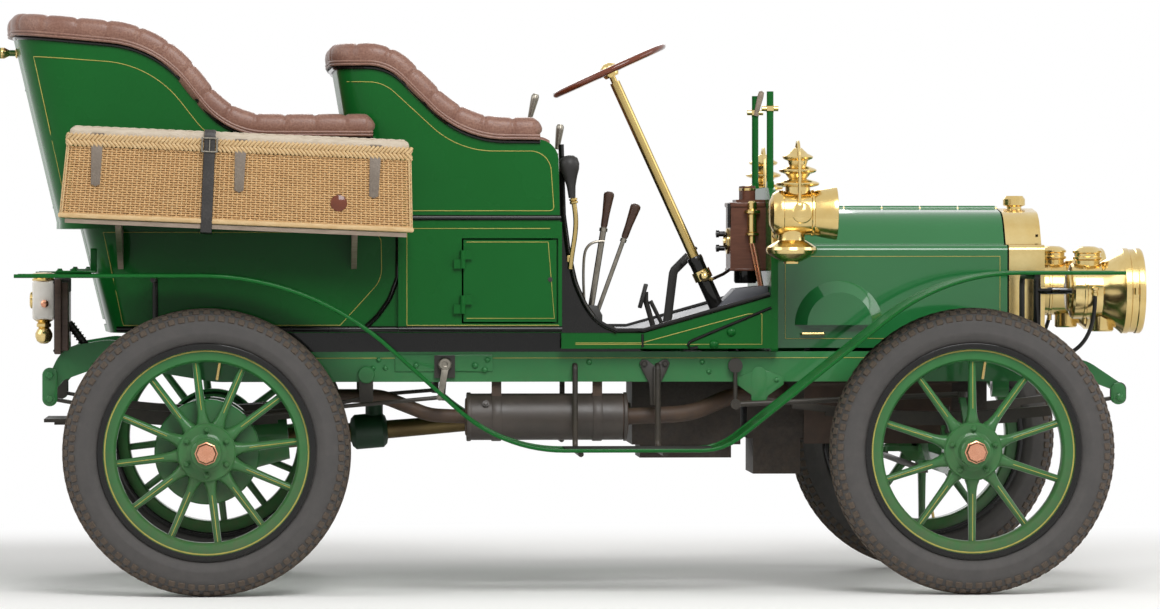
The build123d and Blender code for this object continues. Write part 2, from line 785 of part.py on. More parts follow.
def make_knuckle(steering_arm):
    """The right knuckle: two lugs on the kingpin, the stub axle and the track rod arm."""
    y = -KINGPIN_Y
    low = TYRE_R - AXLE_EYE_HALF_H - PIN_GAP
    high = TYRE_R + AXLE_EYE_HALF_H + PIN_GAP
    web = y - AXLE_EYE_R - WEB_GAP
    web_out = web - STUB_WEB_T
    x0, x1 = WHEELBASE - LUG_HALF_X, WHEELBASE + LUG_HALF_X
    pin_y = -TRACK / 2
    arm_x = WHEELBASE - STEER_ARM
    arm_low = low - LUG_T
    pieces = [
        box(x0, x1, web_out, y + LUG_HALF_X, high, high + LUG_T),
        box(x0, x1, web_out, y + LUG_HALF_X, low - LUG_T, low),
        box(x0, x1, web_out, web, low - LUG_T, high + LUG_T),
        bar((WHEELBASE, y, low - LUG_T), (WHEELBASE, y, high + LUG_T), KINGPIN_R),
        bar((WHEELBASE, web_out + LAP, TYRE_R), (WHEELBASE, pin_y - STUB_END, TYRE_R), STUB_R),
        box(arm_x, WHEELBASE, y - ARM_HALF_W, y + ARM_HALF_W, arm_low, arm_low + ARM_T),
        bar((arm_x, y, arm_low), (arm_x, y, arm_low + ARM_T), LINK_EYE_R),
        bar((arm_x, y, arm_low - 2 * TRACK_ROD_R - 2 * PIN_GAP), (arm_x, y, arm_low), LINK_PIN_R),
    ]
    if steering_arm:
        top = high + LUG_T
        pad = DRAG_EYE_Z - PIN_GAP
        outline = [
            (y - LINK_EYE_R, top - LUG_T / 2),
            (y - LINK_EYE_R, top + ARM_T / 2),
            (DRAG_Y - ARM_T, pad),
            (DRAG_Y + LINK_EYE_R, pad),
            (DRAG_Y + LINK_EYE_R, pad - ARM_T),
            (DRAG_Y - ARM_T, pad - ARM_T),
            (y + LINK_EYE_R, top - LUG_T / 2),
        ]
        arm = make_face(Polyline(*outline, close=True))
        pieces.append(front_plate(arm, WHEELBASE - ARM_HALF_W, WHEELBASE + ARM_HALF_W))
    return fuse(pieces)


def make_track_rod():
    """A straight rod with an eye under each knuckle arm."""
    x = WHEELBASE - STEER_ARM
    top = TYRE_R - AXLE_EYE_HALF_H - PIN_GAP - LUG_T - PIN_GAP
    low = top - 2 * TRACK_ROD_R
    rod = bar((x, -KINGPIN_Y, low + TRACK_ROD_R), (x, KINGPIN_Y, low + TRACK_ROD_R), TRACK_ROD_R - LAP)
    for y in (-KINGPIN_Y, KINGPIN_Y):
        rod = rod + bar((x, y, low), (x, y, top), LINK_EYE_R)
    for y in (-KINGPIN_Y, KINGPIN_Y):
        rod = rod - bar((x, y, low), (x, y, top), LINK_PIN_R + PIN_GAP)
    return rod


def shaft_point(x):
    """A point on the propeller shaft's line."""
    return (x, 0, TYRE_R + (SHAFT_Z - TYRE_R) * x / GEARBOX_X[0])


def make_rear_axle():
    """The live axle: casing, tubes, brake carriers, stub ends and spring pads."""
    pad_top = spring_low(REAR_EYES)
    carrier = TRACK / 2 - DRUM_END + DRUM_T / 2
    half_case = [(DIFF_FACE_R, DIFF_R), (DIFF_R, DIFF_FLAT)]
    case = [(0, -DIFF_R)] + [(r, -w) for r, w in half_case] + list(reversed(half_case)) + [(0, DIFF_R)]
    pieces = [
        turned(case, (0, 0, TYRE_R), (0, 1, 0)),
        bar((0, -carrier, TYRE_R), (0, carrier, TYRE_R), REAR_TUBE_R),
        bar(shaft_point(0), shaft_point(DIFF_R + DIFF_NOSE), *DIFF_NOSE_R),
    ]
    for side in (-1, 1):
        y = side * carrier
        pieces.append(bar((0, y, TYRE_R), (0, y + side * DRUM_CARRIER_T, TYRE_R), DRUM_CARRIER_R))
        pieces.append(bar((0, y, TYRE_R), (0, side * (TRACK / 2 + STUB_END), TYRE_R), STUB_R))
        pad_y = sorted((side * RAIL_Y, side * (RAIL_Y - RAIL_W)))
        pieces.append(box(-SPRING_PAD_HALF_X, SPRING_PAD_HALF_X, *pad_y, TYRE_R, pad_top))
    return fuse(pieces)


def make_shaft_cover():
    """The tapered torque tube from the axle casing to the gearbox, with its collar."""
    back, front = DIFF_R + DIFF_NOSE + SEAT_GAP, GEARBOX_X[0]
    cover = bar(shaft_point(back), shaft_point(front + GEARBOX_SUMP_IN), *SHAFT_COVER_R)
    collar = bar(shaft_point(SHAFT_COLLAR_X[0]), shaft_point(SHAFT_COLLAR_X[1]), SHAFT_COLLAR_R)
    return cover + collar - box(*GEARBOX_X, -GEARBOX_HALF_W, GEARBOX_HALF_W, GEARBOX_Z, RAIL_BOTTOM)


def make_gearbox():
    """The gearbox, hung under its two cross members."""
    sump_top = GEARBOX_Z + GEARBOX_SUMP_H
    x0, x1 = GEARBOX_X[0] + GEARBOX_SUMP_IN, GEARBOX_X[1] - GEARBOX_SUMP_IN
    case = box(*GEARBOX_X, -GEARBOX_HALF_W, GEARBOX_HALF_W, sump_top, RAIL_BOTTOM + RAIL_WALL)
    return case + box(x0, x1, -GEARBOX_SUMP_HALF_W, GEARBOX_SUMP_HALF_W, GEARBOX_Z, sump_top)


def crankcase():
    """The engine's lower block, which the front pipe is cut back to."""
    return box(*ENGINE_X, -ENGINE_HALF_W, ENGINE_HALF_W, *CRANKCASE_Z)


def make_engine():
    """The engine as one plain block: crankcase, cylinders, flywheel guard and bearer arms."""
    flange = RAIL_BOTTOM + RAIL_WALL
    reach = RAIL_Y - RAIL_WALL
    low, high = CRANKCASE_Z
    pieces = [
        crankcase(),
        box(*CYLINDER_X, -CYLINDER_HALF_W, CYLINDER_HALF_W, high, CYLINDER_TOP),
        box(*GUARD_X, -ENGINE_HALF_W, ENGINE_HALF_W, GUARD_LOW, low),
    ]
    for x in BEARER_X:
        x0, x1 = x - BEARER_W / 2, x + BEARER_W / 2
        pieces.append(box(x0, x1, -reach, reach, flange, flange + BEARER_H))
    return fuse(pieces)


def make_undertray():
    """The folded pan under the engine, hung from the lower flanges of the rails."""
    reach = RAIL_Y - RAIL_W
    z = RAIL_BOTTOM - TRAY_T + SEAT_GAP
    foot_y, foot_z = TRAY_FOOT
    line = FilletPolyline((-reach, z), (-TRAY_EDGE, z), (-foot_y, foot_z), radius=TRAY_HOOK)
    side = front_plate(trace(line, TRAY_T), *TRAY_X)
    hook = box(*TRAY_X, -reach - TRAY_HOOK, -reach, z - TRAY_T / 2, RAIL_BOTTOM)
    return side + hook


def make_exhaust():
    """Silencer with front pipe, tail pipe and two straps up to the rail."""
    x0, x1 = MUFFLER_X
    length = x1 - x0
    end_r = MUFFLER_R - MUFFLER_EDGE
    drum = turned([
        (0, 0), (end_r, 0), (MUFFLER_R, MUFFLER_EDGE), (MUFFLER_R, length - MUFFLER_EDGE),
        (end_r, length), (0, length),
    ], (x0, MUFFLER_Y, MUFFLER_Z), (1, 0, 0))
    front = tube(
        [(x1 - MUFFLER_EDGE, MUFFLER_Y, MUFFLER_Z)] + [(x, y, z) for x, y, z, r in FRONT_PIPE],
        [r for x, y, z, r in FRONT_PIPE[:-1]], PIPE_R)
    tail = tube(
        [(x0 + MUFFLER_EDGE, MUFFLER_Y, MUFFLER_Z)] + [(x, y, z) for x, y, z, r in TAIL_PIPE],
        [r for x, y, z, r in TAIL_PIPE[:-1]], TAIL_PIPE_R)
    pieces = [drum, front - crankcase(), tail]
    strap_y = (-RAIL_Y + RAIL_W / 2, -RAIL_Y + RAIL_W / 2 + RAIL_WALL)
    half = MUFFLER_STRAP_W / 2
    for x in (x0 + MUFFLER_STRAP_IN, x1 - MUFFLER_STRAP_IN):
        pieces.append(box(x - half, x + half, *strap_y, MUFFLER_Z + MUFFLER_R / 2, RAIL_BOTTOM))
    return fuse(pieces)


def make_brake_gear():
    """One side's bracket, lever and pull rod to the hub brake."""
    x, out = BRAKE_LEVER_X, -RAIL_Y - BRAKE_ROD_OUT
    bracket = box(x - BRACKET_HALF_X, x + BRACKET_HALF_X, -RAIL_Y - BRACKET_T, -RAIL_Y, *BRACKET_Z)
    low = (x - BRAKE_LEVER_R, out, BRAKE_ROD_Z - BRAKE_LEVER_R)
    lever = bar((x, -RAIL_Y - BRACKET_T - BRAKE_ROD_R, BRAKE_LEVER_Z), low, BRAKE_LEVER_R)
    cam_x, cam_z = BRAKE_CAM
    cam_y = -TRACK / 2 + DRUM_END + RAIL_W / 2
    rod = bar((x - BRAKE_LEVER_R, out, BRAKE_ROD_Z), (cam_x, cam_y, cam_z), BRAKE_ROD_R)
    cam = bar((cam_x, cam_y, cam_z), (cam_x, cam_y, BRAKE_CAM_LOW), BRAKE_ROD_R + LAP)
    trim = bar((0, -TRACK / 2, TYRE_R), (0, 0, TYRE_R), REAR_TUBE_R)
    return fuse([bracket, lever, rod, cam]) - trim


# Body
def plan_face(half_w, back_x, bulge, corner_r, front_x, z):
    """A level section of the body: straight sides, rounded rear corners, slightly bowed back."""
    points = [
        (front_x, -half_w), (back_x, -half_w), (back_x - bulge, 0), (back_x, half_w), (front_x, half_w),
    ]
    radii = [0, corner_r, BULGE_R, corner_r, 0]
    return Pos(0, 0, z) * make_face(FilletPolyline(*points, radius=radii, close=True))


def leaning_body(half_w, low_back, high_back, bulge, corner_r, front_x, z0, z1):
    """A body block whose back leans between two level sections."""
    low = plan_face(half_w, low_back, bulge, corner_r, front_x, z0)
    high = plan_face(half_w, high_back, bulge, corner_r, front_x, z1)
    return loft([low, high], ruled=True)


def tub(shape, grow):
    """A leaning body block grown sideways and to the back by an amount."""
    half_w, low_back, high_back, bulge, corner_r, front_x, z0, z1 = shape
    front = front_x if grow >= 0 else front_x + FAR
    return leaning_body(
        half_w + grow, low_back - grow, high_back - grow, bulge, corner_r + grow, front, z0, z1)


def top_line(corners, lift):
    """The path of a top line, lifted at right angles."""
    points = [(x, z) for x, z, r in corners]
    moved = offset_points(points, lift)
    radii = []
    for index in range(1, len(points) - 1):
        (ax, az), (bx, bz), (cx, cz) = points[index - 1:index + 2]
        turn = (bx - ax) * (cz - bz) - (bz - az) * (cx - bx)
        grow = lift if turn < 0 else -lift
        radii.append(corners[index][2] + grow)
    return FilletPolyline(*moved, radius=radii)


def under_line(corners, lift):
    """Everything below a top line, as a wide block to cut with."""
    path = top_line(corners, lift)
    start, end = path @ 0, path @ 1
    rest = Polyline((end.X, end.Y), (end.X, UNDER), (start.X, UNDER), (start.X, start.Y))
    return side_plate(make_face(Curve() + [path, rest]), -FAR, FAR)


def roll_band(corners, lift):
    """A band of the roll's thickness along a top line."""
    return side_plate(trace(top_line(corners, lift + ROLL_T / 2), ROLL_T), -FAR, FAR)


def door_slab(half_w, low_half_w, low_z):
    """The upright block that the rear door is cut with, narrower below the deck."""
    upper = box(-FAR, DOOR_FRONT_X, -half_w, half_w, DECK_Z, TOP_OF_LOFT)
    lower = box(-FAR, DOOR_FRONT_X, -low_half_w, half_w, low_z, DECK_Z)
    return upper + lower


def hinge_line():
    """A point on the rear door's hinge line and its direction."""
    bow = BULGE * (1 - DOOR_HALF_W / TUB_HALF_W)
    aim = Vector(-BACK_LEAN, 0, 1).normalized()
    return Vector(TUB_BACK_X - bow - HINGE_R - HINGE_STANDOFF, DOOR_HALF_W - DOOR_GAP / 2, DECK_Z), aim


def hinge_pin(place, aim, height):
    """The pin that stands up out of a hinge's lower barrel."""
    low, high = height - HINGE_PIN_R, height + HINGE_HALF_L
    return bar(tuple(place + aim * low), tuple(place + aim * high), HINGE_PIN_R)


def hinge_barrel(place, aim, low, high, inner_r, leaf):
    """A hinge barrel between two distances along its line, with a leaf block, bored or solid."""
    barrel = bar(tuple(place + aim * low), tuple(place + aim * high), HINGE_R) + leaf
    if inner_r:
        start, end = place + aim * (low - HINGE_HALF_L), place + aim * (high + HINGE_HALF_L)
        barrel = barrel - bar(tuple(start), tuple(end), inner_r)
    return barrel


def make_tonneau():
    """Upper tonneau tub, rear door and the lower body under them."""
    floor_z = SILL_TOP + DECK_T
    shell = (tub(TUB_SHAPE, 0) - tub(TUB_SHAPE, -WALL)) & under_line(TUB_TOP, 0)
    inner = tub(BASE_SHAPE, -WALL) & box(-FAR, FAR, -FAR, FAR, floor_z, DECK_Z)
    plan = plan_face(TUB_HALF_W, TUB_BACK_X, BULGE, TUB_CORNER_R, BOX_BACK_X, DECK_Z - DECK_T)
    deck = extrude(plan, DECK_T)
    base = tub(BASE_SHAPE, 0) + deck - inner
    riser = box(*RISER_X, -BASE_HALF_W + WALL, -DOOR_HALF_W - RISER_IN, floor_z, DECK_Z)
    for block in pair(riser):
        base = base + (block & inner)
    opening = door_slab(DOOR_HALF_W, DOOR_HALF_W, floor_z)
    panel = door_slab(DOOR_HALF_W - DOOR_GAP, DOOR_LOW_HALF_W, floor_z + DOOR_SILL_GAP)
    deck_band = box(-FAR, FAR, -FAR, FAR, DECK_Z - DECK_T, DECK_Z)
    door = ((shell + base - deck_band) & panel) + ((deck - inner) & panel)
    place, aim = hinge_line()
    tub_shell = shell - opening
    for height in HINGE_HEIGHTS:
        middle = place + aim * height
        leaf_x = (middle.X - HINGE_R, middle.X + HINGE_R + HINGE_LEAF_T)
        low_z = (middle.Z - HINGE_HALF_L, middle.Z - HINGE_LEAF_END)
        body_leaf = box(*leaf_x, middle.Y, middle.Y + HINGE_LEAF_W, *low_z)
        lug = hinge_barrel(place, aim, height - HINGE_HALF_L, height - PIN_GAP, 0, body_leaf)
        tub_shell = tub_shell + lug + hinge_pin(place, aim, height)
        high_z = (middle.Z + HINGE_LEAF_END, middle.Z + HINGE_HALF_L - HINGE_LEAF_END)
        door_leaf = box(*leaf_x, middle.Y - HINGE_LEAF_W, middle.Y, *high_z)
        bore = HINGE_PIN_R + PIN_GAP
        door = door + hinge_barrel(place, aim, height, height + HINGE_HALF_L, bore, door_leaf)
    root = (TUB_BACK_X - BACK_LEAN * (HANDLE_Z - DECK_Z) - BULGE / 2, HANDLE_Y, HANDLE_Z)
    neck = (-REAR_END + HANDLE_KNOB_T, HANDLE_Y, HANDLE_Z)
    door = door + bar(root, neck, HANDLE_R)
    door = door + bar(neck, (-REAR_END, HANDLE_Y, HANDLE_Z), HANDLE_KNOB_R)
    return tub_shell, base - opening, door


def make_tonneau_soft():
    """Rear seat cushions, side squabs, top roll, and the pad and roll that the door carries."""
    low = DECK_Z + CUSHION_H
    lining = tub(TUB_SHAPE, -WALL - SEAT_GAP) - tub(TUB_SHAPE, -WALL - SQUAB_T)
    lining = lining & under_line(TUB_TOP, -SQUAB_TUCK)
    lining = lining & box(-FAR, SQUAB_FRONT_X, -FAR, FAR, low, TOP_OF_LOFT)
    roll = tub(TUB_SHAPE, ROLL_PROUD) - tub(TUB_SHAPE, -WALL - ROLL_PROUD)
    roll = roll & roll_band(TUB_TOP, SEAT_GAP)
    roll = roll & box(-FAR, TUB_FRONT_X - HINGE_STANDOFF, -FAR, FAR, DECK_Z, TOP_OF_LOFT)
    opening = box(-FAR, DOOR_FRONT_X, -DOOR_HALF_W, DOOR_HALF_W, DECK_Z, TOP_OF_LOFT)
    on_door = box(-FAR, DOOR_FRONT_X, -DOOR_LOW_HALF_W, DOOR_LOW_HALF_W, DECK_Z, TOP_OF_LOFT)
    seat_y = (-TUB_HALF_W, -DOOR_HALF_W - REAR_CUSHION_IN)
    seat = box(REAR_CUSHION_BACK, RISER_X[1], *seat_y, DECK_Z + SEAT_GAP, low - SEAT_GAP)
    seat = seat & tub(TUB_SHAPE, -WALL - SQUAB_T - SEAT_GAP)
    return seat, lining - opening, roll - opening, lining & on_door, roll & on_door


def make_front_seat():
    """Front seat tub with its board, and its cushions, squab and roll."""
    half_w, low_back, high_back, bulge, corner_r, front_x, z0, z1 = SEAT_SHAPE
    shell = tub(SEAT_SHAPE, 0) - tub(SEAT_SHAPE, -WALL)
    board = extrude(plan_face(half_w, low_back, bulge, corner_r, front_x, z0), DECK_T)
    shell = (shell + board) & under_line(SEAT_TOP, 0)
    seat_z = DECK_Z + DECK_T
    low = seat_z + CUSHION_H
    lining = tub(SEAT_SHAPE, -WALL - SEAT_GAP) - tub(SEAT_SHAPE, -WALL - SQUAB_T)
    lining = lining & under_line(SEAT_TOP, -SQUAB_TUCK)
    lining = lining & box(0, FRONT_CUSHION_X[1], -FAR, FAR, low, TOP_OF_LOFT)
    roll = tub(SEAT_SHAPE, ROLL_PROUD) - tub(SEAT_SHAPE, -WALL - ROLL_PROUD)
    roll = roll & roll_band(SEAT_TOP, SEAT_GAP)
    roll = roll & box(0, FRONT_ROLL_END, -FAR, FAR, FRONT_ROLL_LOW, TOP_OF_LOFT)
    inside = SEAT_HALF_W - WALL - SEAT_GAP
    cushion = box(*FRONT_CUSHION_X, -inside, -FRONT_CUSHION_GAP, seat_z + SEAT_GAP, low - SEAT_GAP)
    cushion = cushion & tub(SEAT_SHAPE, -WALL - SEAT_GAP)
    return shell, cushion, lining, roll


def make_seat_box():
    """The hollow box under the front seat with a locker opening on the right, and the locker door."""
    inner_y = SEAT_HALF_W - WALL
    (x0, x1), (z0, z1), gap = LOCKER_X, LOCKER_Z, DOOR_GAP
    block = box(BOX_BACK_X, BOX_FRONT_X, -SEAT_HALF_W, SEAT_HALF_W, SILL_TOP, DECK_Z)
    hollow_x = (BOX_BACK_X + WALL, BOX_FRONT_X - WALL)
    block = block - box(*hollow_x, -inner_y, inner_y, SILL_TOP + DECK_T, DECK_Z - DECK_T)
    block = block - box(x0 - gap, x1 + gap, -SEAT_HALF_W, -inner_y, z0 - gap, z1 + gap)
    door = box(x0, x1, -SEAT_HALF_W, -SEAT_HALF_W + LOCKER_T, z0, z1)
    place = Vector(x0 - gap / 2, -SEAT_HALF_W - HINGE_R - LAP, z0)
    aim = Vector(0, 0, 1)
    leaf_y = (place.Y - HINGE_R / 2, -SEAT_HALF_W)
    for height in LOCKER_HINGES:
        z = z0 + height
        body_leaf = box(place.X - LOCKER_LEAF_W, place.X, *leaf_y, z - HINGE_HALF_L, z - PIN_GAP)
        lug = hinge_barrel(place, aim, height - HINGE_HALF_L, height - PIN_GAP, 0, body_leaf)
        block = block + lug + hinge_pin(place, aim, height)
        door_leaf = box(place.X, place.X + LOCKER_LEAF_W, *leaf_y, z, z + HINGE_HALF_L)
        bore = HINGE_PIN_R + PIN_GAP
        door = door + hinge_barrel(place, aim, height, height + HINGE_HALF_L, bore, door_leaf)
    return block, door


def make_floor():
    """Front floor with its sloping toe board and side panels, the sills, and the curved heel board."""
    low = SILL_TOP - FLOOR_STEP
    toe_back = TOE_X - TOE_BREAK
    boards = side_plate(make_face(Polyline(
        (BOX_FRONT_X, low), (TOE_X, low), (DASH_X, TOE_TOP - FLOOR_STEP), (DASH_X, TOE_TOP),
        (toe_back, SILL_TOP), (BOX_FRONT_X, SILL_TOP), close=True)), -FLOOR_HALF_W, FLOOR_HALF_W)
    start, end = SLEEVE_ALONG
    boards = boards - bar(tuple(column_point(start)), tuple(column_point(end)), SLEEVE_R + 2)
    side = side_plate(make_face(Polyline(
        (BOX_FRONT_X, SILL_TOP), (BOX_FRONT_X, FLOOR_SIDE_LOW), (DASH_X, FLOOR_SIDE_LOW),
        (DASH_X, TOE_TOP + TOE_BREAK), (TOE_X, SILL_TOP), close=True,
    )), -FLOOR_HALF_W - FLOOR_SIDE_T, -FLOOR_HALF_W)
    rail_top = RAIL_BOTTOM + RAIL_H
    sill_back, sill_end = SILL_X
    sill = side_plate(make_face(Polyline(
        (sill_back, rail_top), (sill_end, rail_top), (sill_end, low), (BOX_FRONT_X, low),
        (BOX_FRONT_X, SILL_TOP), (sill_back, SILL_TOP), close=True)), -RAIL_Y, -RAIL_Y + RAIL_W)
    line = FilletPolyline(*HEEL_LINE, radius=HEEL_BEND_R)
    half_w = FLOOR_HALF_W - HEEL_IN
    heel = side_plate(trace(line, HEEL_T), -half_w, half_w)
    heel = heel - box(*LEVER_SLOT_X, *LEVER_SLOT_Y, SILL_TOP, DECK_Z)
    tip, foot = line @ 0, line @ 1
    back = Polyline((foot.X, foot.Y), (tip.X, foot.Y), (tip.X, tip.Y))
    cheek = side_plate(make_face(Curve() + [line, back]), -half_w, -half_w + HEEL_T)
    heel = fuse([heel] + pair(cheek)) - box(BOX_FRONT_X, DASH_X, -FAR, FAR, low, SILL_TOP + SEAT_GAP)
    return boards, side, sill, heel


def make_dash():
    """The upright dash board with rounded top corners and two windscreen posts on its top edge."""
    low = RAIL_BOTTOM + RAIL_H
    points = [
        (-DASH_HALF_W, low), (DASH_HALF_W, low), (DASH_HALF_W, DASH_TOP), (-DASH_HALF_W, DASH_TOP),
    ]
    radii = [DASH_T / 2, DASH_T / 2, DASH_CORNER_R, DASH_CORNER_R]
    face = make_face(FilletPolyline(*points, radius=radii, close=True))
    pieces = [front_plate(face, DASH_X, DASH_X + DASH_T)]
    middle = DASH_X + DASH_T / 2
    for y in POST_Y:
        pieces.append(bar((middle, y, DASH_TOP), (middle, y, POST_TOP), DASH_T / 2))
        foot_y = (y - POST_FOOT, y + POST_FOOT)
        pieces.append(box(DASH_X, DASH_X + DASH_T, *foot_y, DASH_TOP, DASH_TOP + POST_FOOT))
    return fuse(pieces)


def column_point(along):
    """A point on the steering column's line, measured down from the wheel's centre."""
    rake = math.radians(COLUMN_RAKE)
    aim = Vector(math.sin(rake), 0, -math.cos(rake))
    return Vector(WHEEL_CENTRE_X, STEER_Y, WHEEL_CENTRE_Z) + aim * along


def make_column():
    """The raked column, its inner shaft and lower sleeve, and the steering box inside the right rail."""
    rail_in = -RAIL_Y + RAIL_W
    rail_z = (RAIL_BOTTOM, RAIL_BOTTOM + RAIL_H)
    start, end = SLEEVE_ALONG
    shaft_top = COLUMN_R - STEERING_HUB_R - MOVE_GAP
    x0, x1 = DROP_ARM_X - STEERING_BOX_X[0], DROP_ARM_X + STEERING_BOX_X[1]
    column = fuse([
        bar(tuple(column_point(shaft_top)), tuple(column_point(3 * COLUMN_R)), COLUMN_SHAFT_R),
        bar(tuple(column_point(2.5 * COLUMN_R)), tuple(column_point(start + COLUMN_R)), COLUMN_R),
        bar(tuple(column_point(start)), tuple(column_point(end)), SLEEVE_R),
        box(x0, x1, rail_in, STEER_Y + STEERING_BOX_OUT, *rail_z),
    ])
    return column - box(x0, x1, -RAIL_Y, rail_in, *rail_z)


def make_steering_wheel():
    """The wooden rim and the brass spider of four arms."""
    rake = math.radians(COLUMN_RAKE)
    across = (math.cos(rake), 0, math.sin(rake))
    up = (-math.sin(rake), 0, math.cos(rake))
    plane = Plane(origin=tuple(column_point(0)), x_dir=across, z_dir=up)
    wheel = plane * Pos(0, 0, HUB_LIFT) * Cylinder(STEERING_HUB_R, STEERING_HUB_H)
    tip = STEERING_RIM_R - STEERING_GRIP_R / 2
    for quarter in range(4):
        aim = math.radians(45 + 90 * quarter)
        end = plane.from_local_coords((tip * math.cos(aim), tip * math.sin(aim), 0))
        wheel = wheel + bar(tuple(column_point(0)), tuple(end), *SPIDER_R)
    bore_h = STEERING_HUB_H / 2 + STEERING_HUB_R - 2 * HUB_LIFT
    bore = plane * Pos(0, 0, HUB_BORE_TOP - bore_h / 2) * Cylinder(COLUMN_SHAFT_R + PIN_GAP, bore_h)
    return wheel + plane * Torus(STEERING_RIM_R, STEERING_GRIP_R) - bore


def make_drop_arm():
    """The drop arm on its cross shaft, and the drag link to the right knuckle."""
    x, z = DROP_ARM_X, DROP_ARM_Z
    out = -RAIL_Y - SHACKLE_T - MOVE_GAP
    far = out - DROP_ARM_T
    pin_z = z - DROP_ARM_L
    link_y = far - PIN_GAP
    middle = (out + far) / 2
    arm = fuse([
        bar((x, -RAIL_Y + RAIL_W, z), (x, far, z), DROP_SHAFT_R),
        bar((x, out, z), (x, far, z), DROP_SHAFT_R + DRAG_R),
        bar((x, middle, z), (x, middle, pin_z), DROP_ARM_T / 2),
        bar((x, out, pin_z), (x, far, pin_z), LINK_EYE_R - LAP),
        bar((x, out, pin_z), (x, link_y - DRAG_EYE_T - PIN_GAP, pin_z), LINK_PIN_R),
    ])
    front = (WHEELBASE, DRAG_Y, DRAG_EYE_Z)
    link = fuse([
        bar((x, link_y - DRAG_R, pin_z), (WHEELBASE, DRAG_Y, DRAG_EYE_Z + DRAG_R), DRAG_R - LAP),
        bar((x, link_y, pin_z), (x, link_y - DRAG_EYE_T, pin_z), LINK_EYE_R),
        bar(front, (WHEELBASE, DRAG_Y, DRAG_EYE_Z + ARM_T), LINK_EYE_R),
    ])
    bore = bar((x, link_y, pin_z), (x, link_y - 2 * DRAG_EYE_T, pin_z), LINK_PIN_R + PIN_GAP)
    return arm, link - bore


# Bonnet and radiator
def bonnet_points(inset):
    """Half the bonnet's section from the top to the bottom, as y, z, radius."""
    top_r, inner_r, ledge_r = BONNET_BEND_R
    return [
        (-BONNET_TOP_HALF_W, BONNET_TOP - BONNET_TOP_FALL - inset, top_r),
        (-BONNET_DOME_HALF_W + inset, BONNET_LEDGE_Z + BONNET_LEDGE_RISE - inset, inner_r),
        (-BONNET_HALF_W + inset, BONNET_LEDGE_Z - inset, ledge_r),
        (-BONNET_HALF_W + inset, BONNET_LOW, 0),
    ]


def make_bonnet():
    """The two bonnet halves, hinged along the top, each with a half round blister, and the hinge rod."""
    half_t = BONNET_T / 2
    points = bonnet_points(half_t)
    start = (-HINGE_R - HINGE_STANDOFF, BONNET_TOP - half_t)
    radii = [r for y, z, r in points[:-1]]
    line = FilletPolyline(start, *[(y, z) for y, z, r in points], radius=radii)
    sheet = front_plate(trace(line, BONNET_T), *BONNET_X)
    side = -BONNET_HALF_W
    root, crown = (BLISTER_X, side + half_t, BLISTER_Z), (BLISTER_X, side - BLISTER_OUT, BLISTER_Z)
    blister = bar(root, crown, *BLISTER_R) & box(*BONNET_X, -FAR, 0, BLISTER_Z, BONNET_TOP)
    halves = [sheet + blister, sheet + blister]
    step = (BONNET_X[1] - BONNET_X[0]) / BONNET_BARRELS
    for index in range(BONNET_BARRELS):
        x = BONNET_X[0] + index * step
        ends = (x + BARREL_GAP, x + step - BARREL_GAP)
        barrel = bar((ends[0], 0, BONNET_TOP), (ends[1], 0, BONNET_TOP), HINGE_R)
        tab = box(*ends, start[0] - LAP, 0, BONNET_TOP - BONNET_T, BONNET_TOP)
        halves[index % 2] = halves[index % 2] + tab + barrel
    bore_r = BONNET_ROD_R + PIN_GAP
    bore = bar((BONNET_X[0], 0, BONNET_TOP), (BONNET_X[1], 0, BONNET_TOP), bore_r)
    rod = bar((DASH_X + DASH_T, 0, BONNET_TOP), (RAD_X, 0, BONNET_TOP), BONNET_ROD_R)
    return halves[0] - bore, left_of(halves[1] - bore), rod


def section_face(inset, low):
    """The closed section of the radiator, drawn in from the outline by an inset."""
    points = bonnet_points(inset)
    bends = [r for y, z, r in points[:-1]]
    right = [(y, z) for y, z, r in points[:-1]] + [(points[-1][0], low)]
    left = [(-y, z) for y, z in reversed(right)]
    radii = [0] + bends + [RAD_FOOT_LAP, RAD_FOOT_LAP] + list(reversed(bends))
    top = (0, BONNET_TOP - inset)
    return make_face(FilletPolyline(top, *right, *left, radius=radii, close=True))


def make_radiator():
    """The brass shell, its core and the filler cap."""
    x0, x1 = RAD_X, RAD_X + RAD_DEPTH
    low = RAIL_BOTTOM + RAIL_H
    core_face = section_face(RAD_WALL, low + RAD_WALL)
    shell = front_plate(section_face(0, low), x0, x1) - front_plate(core_face, x0, x1)
    core = front_plate(core_face, x0 + CORE_BACK, x1 - CORE_FRONT)
    foot_y = (-RAIL_Y + RAIL_W - RAD_FOOT_LAP, -BONNET_HALF_W + RAD_FOOT_IN)
    foot = box(x0 + RAD_FOOT_IN, x1 - RAD_FOOT_IN, *foot_y, low, low + RAD_FOOT_T)
    cap = turned(FILLER, (x0 + FILLER_X, 0, BONNET_TOP - FILLER_LOW), (0, 0, 1))
    return fuse([shell, cap] + pair(foot)), core


# Wings

def make_wing():
    """The right wing, one sheet from the front tip over the step to the tail."""
    path = FilletPolyline(*[(x, z) for x, z, r in WING_PATH], radius=[r for x, z, r in WING_PATH[1:-1]])
    return side_plate(trace(path, WING_T), -WING_Y[1], -WING_Y[0])


def make_stays():
    """The right wing's irons, from the rail out under the sheet."""
    stays = []
    for x, foot_z, upright_y, wing_z in WING_STAYS:
        top = wing_z - WING_T / 2 - SEAT_GAP - STAY_R
        end_y = -WING_Y[1] + STAY_END
        points = [(x, -RAIL_Y, foot_z), (x, -upright_y, foot_z), (x, -upright_y, top), (x, end_y, top)]
        stays.append(tube(points, STAY_BENDS, STAY_R))
    return stays


